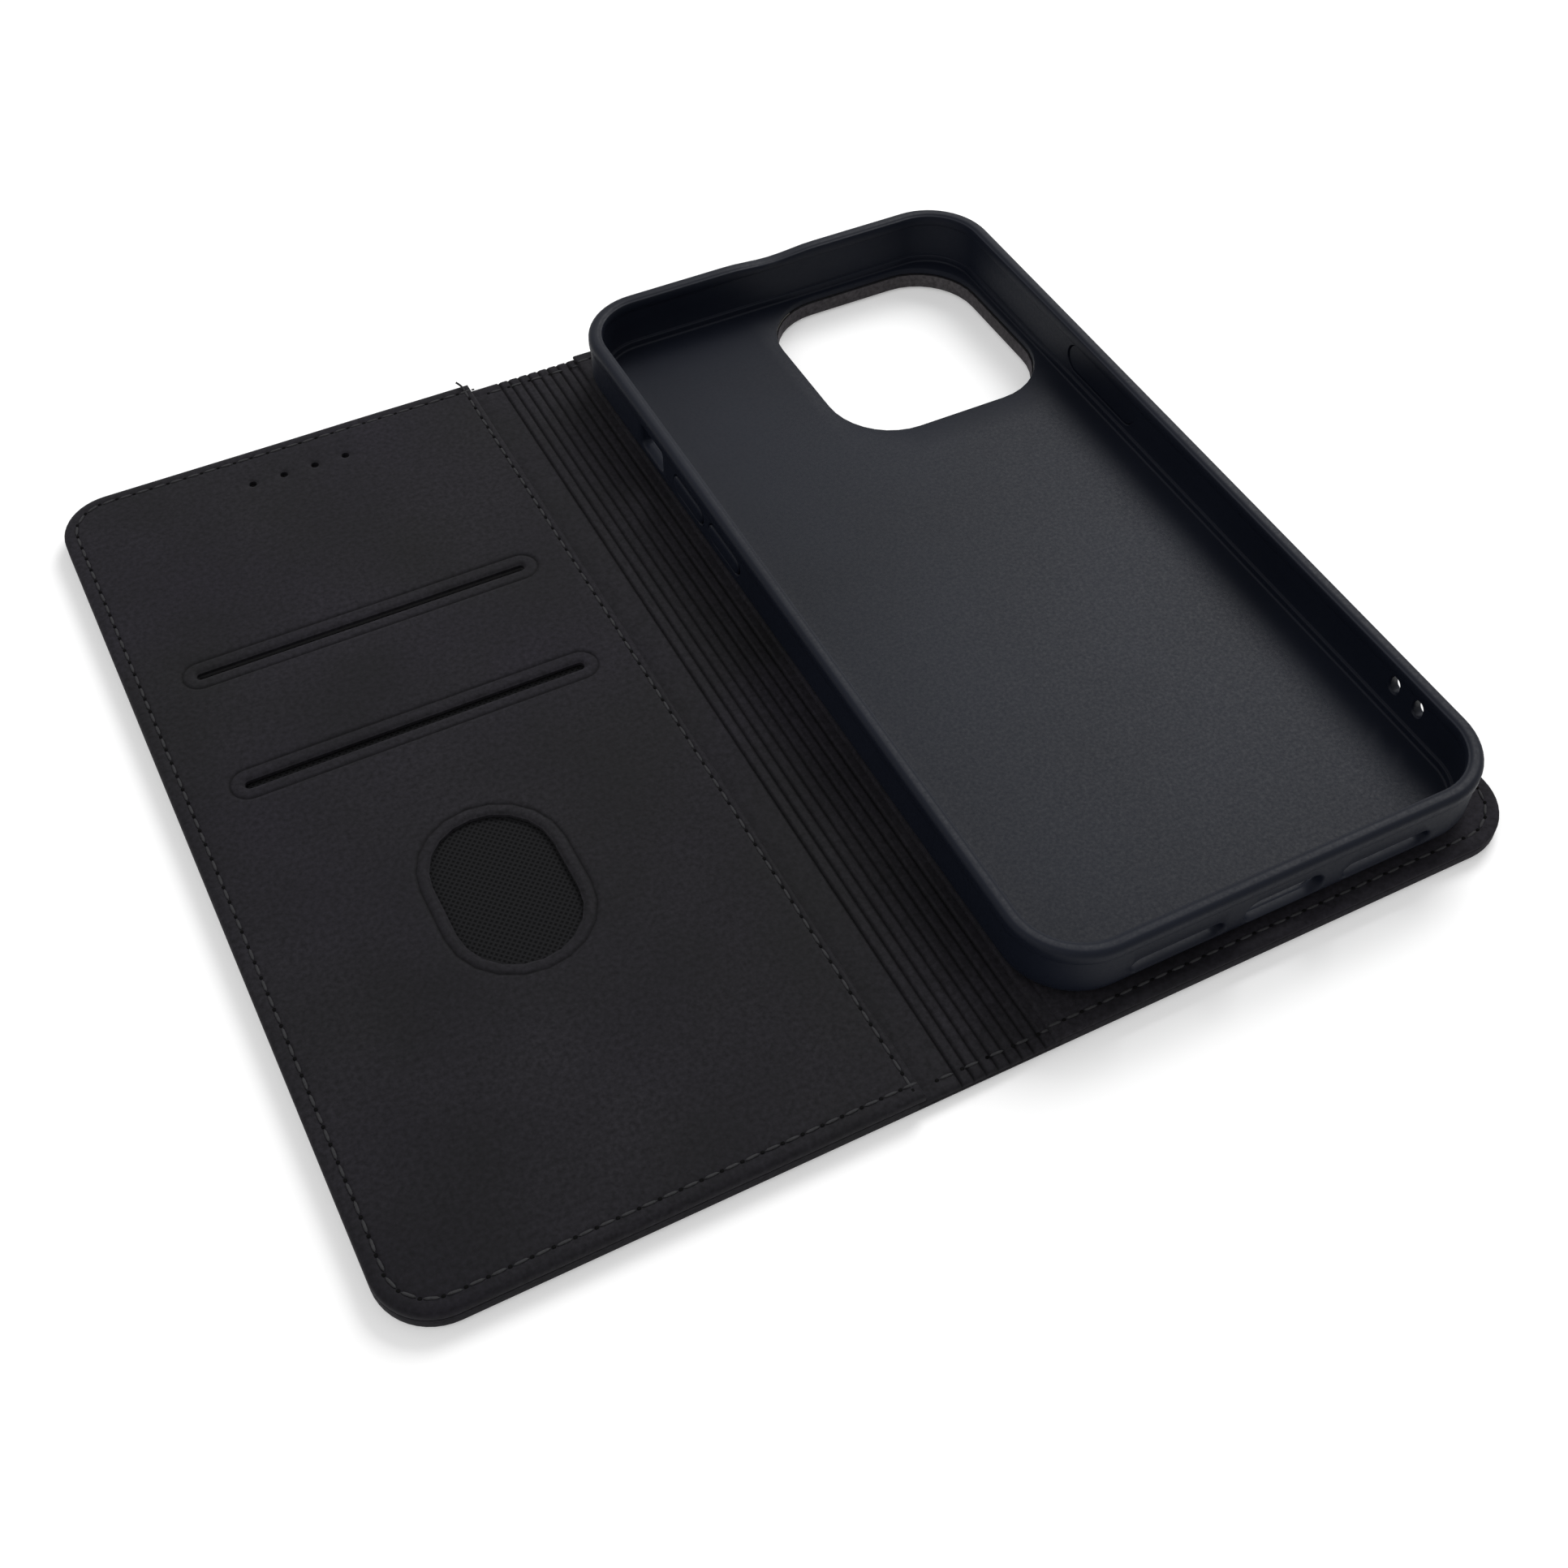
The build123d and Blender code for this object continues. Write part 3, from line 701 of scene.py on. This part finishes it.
edge_paint = leatherette("window_edge", (0.05, 0.048, 0.045), (0.085, 0.082, 0.077), 0.03)
back_window = [
    (0.0, 0.9), (0.0, 2.84), (0.12, 2.9), (0.28, 2.84), (0.32, 2.6), (0.32, 0.3), (0.2, 0.1), (-0.1, 0.0),
]
back_skin = closed_piece(
    "back_skin_leather",
    skin_rings(back_edge_x, back_end_x, back_radius, 1.9),
    [[rounded_loop(window_centre, window_size, window_radius, inset, z) for inset, z in back_window]],
    lambda x, y: 0.0, spacing=4.0, shape=underside,
)
back_skin.data.materials.append(outer_leather)
back_skin.data.materials.append(edge_paint)
for face in back_skin.data.polygons:
    across_window = abs(face.center.x / mm - window_centre[0]) < window_size[0] / 2 + 0.1
    along_window = abs(face.center.y / mm - window_centre[1]) < window_size[1] / 2 + 0.1
    if across_window and along_window and abs(face.normal.z) < 0.8:
        face.material_index = 1
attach(back_skin, "shell")
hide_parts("back_skin")

back_steps = [
    (0.4, 0.4, 1.92), (0.12, 0.12, 1.94), (0.0, 0.0, 2.06), (0.0, 0.0, 2.3), (0.06, 0.06, 2.52),
    (0.25, 0.25, 2.7), (0.6, 0.6, 2.79), (1.1, 1.0, 2.8), (1.7, 1.5, 2.79), (1.98, 1.7, 2.74),
    (2.25, 1.9, 2.67), (2.52, 2.1, 2.74), (2.8, 2.3, 2.79), (3.4, 2.8, 2.8),
]
back_lining = closed_piece(
    "back_lining_leather",
    [cover_outline(back_edge_x, back_lining_end_x, back_radius, a, b, z) for a, b, z in back_steps],
    [[rounded_loop(window_centre, window_size, window_radius, -0.05, z) for z in (1.92, 2.79)]],
    lambda x, y: back_lining_top, spacing=4.0,
)
back_lining.data.materials.append(lining_leather)
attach(back_lining, "shell")
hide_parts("back_lining")

# ---------------------------------------------------------------------------------------------------
# Phone tray: one soft moulding with a rounded underside, a lip round its mouth, a small step where the
# walls meet the floor, and holes for the camera, the plug, the speakers, the switch and a wrist strap.
tray_centre = (46.15, 0.26)
tray_size = (81.4, 164.4)
tray_radius = 12.0
tray_floor = 4.2

tray_rubber = bpy.data.materials.new("tray_rubber")
tray_rubber.use_nodes = True
rubber_tree = tray_rubber.node_tree
rubber_shader = rubber_tree.nodes["Principled BSDF"]
rubber_place = shader_node(rubber_tree, "ShaderNodeTexCoord").outputs["Object"]
drift = shader_node(rubber_tree, "ShaderNodeTexNoise", Scale=22.0, Detail=3.0)
frost = shader_node(rubber_tree, "ShaderNodeTexNoise", Scale=1700.0, Detail=4.0, Roughness=0.65)
for texture in (drift, frost):
    wire(rubber_tree, rubber_place, texture.inputs["Vector"])
rubber_colour = shader_node(rubber_tree, "ShaderNodeValToRGB")
rubber_colour.color_ramp.elements[0].position = 0.3
rubber_colour.color_ramp.elements[0].color = (0.0036, 0.0048, 0.0092, 1)
rubber_colour.color_ramp.elements[1].position = 0.72
rubber_colour.color_ramp.elements[1].color = (0.007, 0.0088, 0.0152, 1)
wire(rubber_tree, drift.outputs["Fac"], rubber_colour.inputs[0])
wire(rubber_tree, rubber_colour.outputs[0], rubber_shader.inputs["Base Color"])
rubber_gloss = shader_node(
    rubber_tree, "ShaderNodeMapRange", From_Min=0.3, From_Max=0.7, To_Min=0.42, To_Max=0.56
)
wire(rubber_tree, frost.outputs["Fac"], rubber_gloss.inputs["Value"])
wire(rubber_tree, rubber_gloss.outputs[0], rubber_shader.inputs["Roughness"])
rubber_bump = shader_node(rubber_tree, "ShaderNodeBump", Strength=0.35, Distance=0.03 * mm)
wire(rubber_tree, frost.outputs["Fac"], rubber_bump.inputs["Height"])
wire(rubber_tree, rubber_bump.outputs[0], rubber_shader.inputs["Normal"])
rubber_shader.inputs["Specular IOR Level"].default_value = 0.1


def arc_steps(centre_inset, centre_z, radius, start, end, count):
    """Insets and heights along a rounding in the wall's cross section."""
    turns = [math.radians(start + (end - start) * k / count) for k in range(count + 1)]
    return [(centre_inset + radius * math.cos(t), centre_z + radius * math.sin(t)) for t in turns]


tray_steps = arc_steps(3.65, 6.4, 3.4, 270, 180, 8)
tray_steps += [(0.25, 8.5), (0.25, 11.6), (0.22, 11.85), (0.1, 12.0), (0.0, 12.15), (0.0, 13.3)]
tray_steps += arc_steps(0.95, 13.35, 0.95, 170, 90, 6)
tray_steps += [(1.5, 14.29), (1.95, 14.22), (2.08, 14.1), (2.2, 14.08), (2.4, 14.0), (2.5, 13.8), (2.5, 12.3)]
tray_steps += [(2.42, 12.12), (2.27, 12.0), (2.25, 9.0), (2.25, 5.75), (2.29, 5.62), (2.4, 5.55)]
tray_steps += [(2.62, 5.53), (2.72, 5.45), (2.76, 5.3), (2.77, 4.6)] + arc_steps(3.17, 4.6, 0.4, 200, 270, 4)
tray_rings = [rounded_loop(tray_centre, tray_size, tray_radius, a, z, 24, 14) for a, z in tray_steps]
tray_window = [(-0.1, 3.0), (0.0, 3.12), (0.0, 3.95), (-0.08, 4.12), (-0.3, tray_floor)]
tray = closed_piece(
    "tray_moulding", tray_rings,
    [[rounded_loop(window_centre, window_size, window_radius, a, z) for a, z in tray_window]],
    lambda x, y: tray_floor, spacing=6.0,
)
left_wall_x = 5.7
right_wall_x = 86.6
bottom_wall_y = -81.69
key_level = 9.2
key_height = 3.4
key_corner = 1.69
key_places = {
    "volume_up_key": ("left", 32.05, 11.2), "volume_down_key": ("left", 18.4, 11.2),
    "power_key": ("right", 26.2, 19.4),
}
eye_size = (2.0, 3.0)
speaker_size = (15.6, 2.9)


def wall_cutter(name, wall, middle, size, radius, steps):
    """A rounded cutter through a wall: each step is its depth and how much wider than the hole it is."""
    mesh = bmesh.new()
    loops = []
    for depth, grown in steps:
        flat = rounded_loop((0, 0), (size[0] + 2 * grown, size[1] + 2 * grown), radius + grown, 0, 0, 4, 6)
        points = []
        for a, b, _ in flat:
            if wall == "left":
                points.append((left_wall_x + depth, middle[0] + a, middle[1] + b))
            elif wall == "right":
                points.append((right_wall_x - depth, middle[0] + a, middle[1] + b))
            else:
                points.append((middle[0] + a, bottom_wall_y + depth, middle[1] + b))
        loops.append([mesh.verts.new(p) for p in points])
    for first, second in zip(loops, loops[1:]):
        bridge(mesh, first, second)
    mesh.faces.new(loops[0])
    mesh.faces.new(loops[-1])
    return finished(name, mesh)


plain_hole = [(-1.0, 0.75), (-0.35, 0.75), (0.0, 0.4), (0.15, 0.14), (0.4, 0.0), (1.7, 0.0), (1.95, 0.2)]
plain_hole += [(2.3, 0.45), (3.2, 0.45)]
stepped_hole = [(-1.0, 0.9), (-0.3, 0.9), (0.0, 0.45), (0.2, 0.2), (1.0, 0.2), (1.0, 1.0), (1.9, 1.0)]
stepped_hole += [(2.3, 1.35), (3.4, 1.35)]
cutters = [wall_cutter("cut_switch", "left", (46.75, 9.25), (8.5, 4.5), 1.0, plain_hole)]
for key, (wall, y, length) in key_places.items():
    cutters.append(wall_cutter(
        "cut_" + key, wall, (y, key_level), (length, key_height), key_corner, stepped_hole
    ))
cutters += [
    wall_cutter("cut_eye_upper", "right", (-57.1, 10.0), eye_size, 0.99, plain_hole),
    wall_cutter("cut_eye_lower", "right", (-62.7, 10.0), eye_size, 0.99, plain_hole),
    wall_cutter("cut_port", "bottom", (46.15, 7.5), (13.6, 4.4), 2.19, plain_hole),
    wall_cutter("cut_speaker_left", "bottom", (27.85, 7.1), speaker_size, 1.44, plain_hole),
    wall_cutter("cut_speaker_right", "bottom", (64.55, 7.1), speaker_size, 1.44, plain_hole),
]
for cutter in cutters:
    cut = tray.modifiers.new("cut", "BOOLEAN")
    cut.operation = "DIFFERENCE"
    cut.solver = "EXACT"
    cut.object = cutter
carved = bpy.data.meshes.new_from_object(tray.evaluated_get(bpy.context.evaluated_depsgraph_get()))
tray.modifiers.clear()
tray.data = carved
for cutter in cutters:
    bpy.data.objects.remove(cutter)
rim_dip_length = 18.0
rim_dip_depth = 0.7
rim_dip_foot = 12.6
rim_dip_height = 1.7
for v in carved.vertices:
    x, y, z = (c / mm for c in v.co)
    share = max(0.0, 1 - abs(x - tray_centre[0]) / (rim_dip_length / 2))
    if y > 79 and z > rim_dip_foot:
        smooth = share * share * (3 - 2 * share)
        v.co.z -= rim_dip_depth * mm * smooth * (z - rim_dip_foot) / rim_dip_height
carved.set_sharp_from_angle(angle=math.radians(38))
carved.materials.clear()
carved.materials.append(tray_rubber)
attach(tray, "shell")
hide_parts("phone_tray")

# ---------------------------------------------------------------------------------------------------
# Keys: three domed pads of the tray's own soft plastic, two for volume in the left wall and one for
# power in the right wall. Each has a flange behind it and moves in when pressed.
key_steps = [
    (1.7, 0.8), (1.1, 0.8), (1.1, 0.0), (0.1, 0.0), (-0.08, -0.06), (-0.2, -0.22), (-0.29, -0.5),
    (-0.34, -0.9), (-0.35, -1.3),
]


def key_pad(name, wall, y, length):
    """One key, lofted from its flange out to its domed face."""
    mesh = bmesh.new()
    loops = []
    for depth, grown in key_steps:
        size = (length + 2 * grown, key_height + 2 * grown)
        flat = rounded_loop((0, 0), size, key_corner + grown, 0, 0, 8, 6)
        x = left_wall_x + depth if wall == "left" else right_wall_x - depth
        loops.append([mesh.verts.new((x, y + a, key_level + b)) for a, b, _ in flat])
    for first, second in zip(loops, loops[1:]):
        bridge(mesh, first, second)
    mesh.faces.new(loops[0])
    mesh.faces.new(loops[-1])
    bmesh.ops.triangulate(mesh, faces=[f for f in mesh.faces if len(f.verts) > 4])
    made = finished(name + "_pad", mesh)
    made.data.materials.append(tray_rubber)
    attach(made, name)
    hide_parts(name)


for key, (wall, y, length) in key_places.items():
    key_pad(key, wall, y, length)

# ---------------------------------------------------------------------------------------------------
# Stitching: one line of short straight machine stitches round the whole border and one along the
# panel's edge beside the spine, in thread a shade lighter than the leather, each end in a needle hole drawn
# as a near-black bead of painted shade.
stitch_pitch = 2.95
stitch_length = 2.15
thread_width = 0.46
border_inset = 2.25


def fibre_finish(name, low, high, scale, roughness, detail=5.0, shine=0.5, metallic=0.0, relief=0.3):
    """A plain material with a fine mottled fibre in its colour and, mostly, in its relief."""
    made = bpy.data.materials.new(name)
    made.use_nodes = True
    tree = made.node_tree
    shader = tree.nodes["Principled BSDF"]
    place = shader_node(tree, "ShaderNodeTexCoord").outputs["Object"]
    fibre = shader_node(tree, "ShaderNodeTexNoise", Scale=scale, Detail=detail)
    wire(tree, place, fibre.inputs["Vector"])
    ramp = shader_node(tree, "ShaderNodeValToRGB")
    ramp.color_ramp.elements[0].color = (*low, 1)
    ramp.color_ramp.elements[1].color = (*high, 1)
    wire(tree, fibre.outputs["Fac"], ramp.inputs[0])
    wire(tree, ramp.outputs[0], shader.inputs["Base Color"])
    if relief:
        bump = shader_node(tree, "ShaderNodeBump", Strength=relief, Distance=0.05 * mm)
        wire(tree, fibre.outputs["Fac"], bump.inputs["Height"])
        wire(tree, bump.outputs[0], shader.inputs["Normal"])
    shader.inputs["Roughness"].default_value = roughness
    shader.inputs["Specular IOR Level"].default_value = shine
    shader.inputs["Metallic"].default_value = metallic
    return made


thread = fibre_finish("thread", (0.019, 0.019, 0.02), (0.05, 0.05, 0.053), 2600.0, 0.7, 3.0, 0.08, relief=0.6)
# Needle holes: near-black beads laid on the leather as painted shade, for the shade inside each hole.
needle_hole_shade = fibre_finish("needle_hole_shade", (0.004,) * 3, (0.009,) * 3, 3000.0, 1.0, 2.0, 0.0, relief=0.0)


def rounded_bead(name, length, width, height, material):
    """A small rounded bar or dimple, a few dozen faces, for one stitch or one needle hole."""
    mesh = bmesh.new()
    loops = []
    for k in range(7):
        along = -1 + 2 * k / 6
        size = math.sqrt(max(0.0, 1 - abs(along) ** 3.2)) * 0.92 + 0.08
        turns = [2 * math.pi * j / 8 for j in range(8)]
        ring = [(width / 2 * size * math.cos(t), height / 2 * size * math.sin(t)) for t in turns]
        loops.append([mesh.verts.new((along * length / 2, a, b)) for a, b in ring])
    for first, second in zip(loops, loops[1:]):
        bridge(mesh, first, second)
    mesh.faces.new(loops[0])
    mesh.faces.new(loops[-1])
    made = finished(name, mesh, 80)
    made.data.materials.append(material)
    return made


one_stitch = rounded_bead("one_stitch", stitch_length, thread_width, 0.34, thread)
one_hole = rounded_bead("one_hole", 0.62, 0.5, 0.16, needle_hole_shade)


def stitching_tree():
    """Node tree that lays stitches and needle holes along a path at a given pitch."""
    tree = bpy.data.node_groups.new("machine_stitching", "GeometryNodeTree")
    face = tree.interface
    face.new_socket("Path", in_out="INPUT", socket_type="NodeSocketGeometry")
    face.new_socket("Pitch", in_out="INPUT", socket_type="NodeSocketFloat")
    for name in ("Stitch", "Hole"):
        face.new_socket(name, in_out="INPUT", socket_type="NodeSocketObject")
        face.new_socket(name + " material", in_out="INPUT", socket_type="NodeSocketMaterial")
    face.new_socket("Stitches", in_out="OUTPUT", socket_type="NodeSocketGeometry")
    given = tree.nodes.new("NodeGroupInput")
    result = tree.nodes.new("NodeGroupOutput")
    spaced = tree.nodes.new("GeometryNodeResampleCurve")
    spaced.mode = "LENGTH"
    wire(tree, given.outputs["Path"], spaced.inputs["Curve"])
    wire(tree, given.outputs["Pitch"], spaced.inputs["Length"])
    line = tree.nodes.new("GeometryNodeCurveToPoints")
    line.mode = "EVALUATED"
    wire(tree, spaced.outputs[0], line.inputs[0])
    joined = tree.nodes.new("GeometryNodeJoinGeometry")
    stray = tree.nodes.new("FunctionNodeRandomValue")
    stray.data_type = "FLOAT_VECTOR"
    stray.inputs["Seed"].default_value = 7
    stray.inputs[0].default_value = (-0.01, -0.01, -0.045)
    stray.inputs[1].default_value = (0.01, 0.01, 0.045)
    for socket, offset in (("Stitch", 0.0), ("Hole", 0.5)):
        shape = tree.nodes.new("GeometryNodeObjectInfo")
        placed = tree.nodes.new("GeometryNodeInstanceOnPoints")
        wire(tree, given.outputs[socket], shape.inputs["Object"])
        wire(tree, shape.outputs["Geometry"], placed.inputs["Instance"])
        wire(tree, line.outputs["Points"], placed.inputs["Points"])
        turned = tree.nodes.new("FunctionNodeAlignRotationToVector")
        turned.axis = "X"
        turned.pivot_axis = "Z"
        wire(tree, line.outputs["Tangent"], turned.inputs["Vector"])
        wire(tree, turned.outputs[0], placed.inputs["Rotation"])
        moved = tree.nodes.new("GeometryNodeTranslateInstances")
        moved.inputs["Translation"].default_value = (offset * stitch_pitch * mm, 0, 0)
        wire(tree, placed.outputs[0], moved.inputs["Instances"])
        out = moved.outputs[0]
        if socket == "Stitch":
            spun = tree.nodes.new("GeometryNodeRotateInstances")
            wire(tree, out, spun.inputs["Instances"])
            wire(tree, stray.outputs[0], spun.inputs["Rotation"])
            out = spun.outputs[0]
        realised = tree.nodes.new("GeometryNodeRealizeInstances")
        wire(tree, out, realised.inputs[0])
        painted = tree.nodes.new("GeometryNodeSetMaterial")
        wire(tree, realised.outputs[0], painted.inputs["Geometry"])
        wire(tree, given.outputs[socket + " material"], painted.inputs["Material"])
        wire(tree, painted.outputs[0], joined.inputs[0])
    wire(tree, joined.outputs[0], result.inputs[0])
    return tree


machine_stitching = stitching_tree()


def stitch_line(name, path):
    """Sews along a path of points in millimetres and returns the stitches as one mesh."""
    curve = bpy.data.curves.new(name, "CURVE")
    curve.dimensions = "3D"
    spline = curve.splines.new("POLY")
    spline.points.add(len(path) - 1)
    for point, place in zip(spline.points, path):
        point.co = (place[0] * mm, place[1] * mm, place[2] * mm, 1)
    guide = bpy.data.objects.new(name + "_path", curve)
    bpy.context.collection.objects.link(guide)
    sewing = guide.modifiers.new("sewing", "NODES")
    sewing.node_group = machine_stitching
    items = machine_stitching.interface.items_tree
    sockets = {item.name: item.identifier for item in items if item.in_out == "INPUT"}
    sewing[sockets["Pitch"]] = stitch_pitch * mm
    sewing[sockets["Stitch"]] = one_stitch
    sewing[sockets["Hole"]] = one_hole
    sewing[sockets["Stitch material"]] = thread
    sewing[sockets["Hole material"]] = needle_hole_shade
    sewn = bpy.data.meshes.new_from_object(guide.evaluated_get(bpy.context.evaluated_depsgraph_get()))
    made = bpy.data.objects.new(name, sewn)
    bpy.context.collection.objects.link(made)
    bpy.data.objects.remove(guide)
    return made


def border_path(edge_x, fold_x, radius, height):
    """The stitch line round a cover's three free sides."""
    loop = cover_outline(edge_x, fold_x, radius, border_inset, 0.0, height)
    return loop[: 2 * side_runs + 2 * (corner_runs + 1) + edge_runs - 1]


front_level = 3.86
back_level = 2.78
spine_level = 1.98
border_end_x = panel_edge_x - 1.3
panel_seam_x = panel_edge_x - 1.32
seam_reach = 81.6
front_border = border_path(front_edge_x, border_end_x, front_radius, front_level)
front_stitches = stitch_line("front_border_stitches", front_border)
back_stitches = stitch_line("back_border_stitches", border_path(back_edge_x, 7.6, back_radius, back_level))
panel_seam = [(panel_seam_x, y, front_level) for y in np.linspace(seam_reach, -seam_reach, 40)]
fold_stitches = stitch_line("panel_edge_stitches", panel_seam)
loose_curve = bpy.data.curves.new("loose_thread_end", "CURVE")
loose_curve.dimensions = "3D"
loose_curve.bevel_depth = 0.2 * mm
loose_curve.bevel_resolution = 2
loose_curve.use_fill_caps = True
loose_line = loose_curve.splines.new("POLY")
loose_line.points.add(5)
for k, point in enumerate(loose_line.points):
    loose_x = border_end_x - 0.09 * k * k * 0.4
    point.co = (loose_x * mm, (82.6 + 0.34 * k) * mm, (3.85 + 0.2 * k) * mm, 1)
loose_guide = bpy.data.objects.new("loose_guide", loose_curve)
bpy.context.collection.objects.link(loose_guide)
loose_mesh = bpy.data.meshes.new_from_object(loose_guide.evaluated_get(bpy.context.evaluated_depsgraph_get()))
bpy.data.objects.remove(loose_guide)
loose_end = bpy.data.objects.new("loose_thread_end", loose_mesh)
bpy.context.collection.objects.link(loose_end)
loose_mesh.materials.clear()
loose_mesh.materials.append(thread)
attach(loose_end, "front_cover")
sewn_bodies = ((front_stitches, "front_cover"), (fold_stitches, "front_cover"), (back_stitches, "shell"))
for stitches, body in sewn_bodies:
    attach(stitches, body)
for place, first_body, second_body, bend_start, bend_end, start_x, end_x in fold_places[:2]:
    for side, y in (("upper", cover_length / 2 - border_inset), ("lower", border_inset - cover_length / 2)):
        seam = [(start_x + (end_x - start_x) * k / 12 - 0.9, y, spine_level) for k in range(13)]
        stitches = stitch_line(f"spine_{place}_{side}_stitches", seam)
        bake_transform(stitches)
for pattern in (one_stitch, one_hole):
    bpy.data.objects.remove(pattern)

# ---------------------------------------------------------------------------------------------------
# Hidden core: grey boards with magnets sealed in them, thin foam under the panel, and the adhesive sheet
# under the tray. They keep their CAD shapes.
core_materials = {
    "board": fibre_finish("grey_board", (0.05, 0.05, 0.05), (0.12, 0.12, 0.115), 700.0, 0.9),
    "magnets": fibre_finish("nickel_plate", (0.45, 0.45, 0.44), (0.6, 0.6, 0.58), 300.0, 0.3, metallic=1.0),
    "padding": fibre_finish("thin_foam", (0.012, 0.012, 0.013), (0.03, 0.03, 0.032), 1500.0, 0.95),
    "adhesive": fibre_finish("adhesive_film", (0.2, 0.19, 0.17), (0.3, 0.29, 0.26), 120.0, 0.5),
}
for node_name, made_of in (
    ("front_board", "board"), ("back_board", "board"), ("front_magnets", "magnets"),
    ("back_magnets", "magnets"), ("panel_padding", "padding"), ("tray_adhesive", "adhesive"),
):
    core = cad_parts[node_name]
    core.data.materials.clear()
    core.data.materials.append(core_materials[made_of])
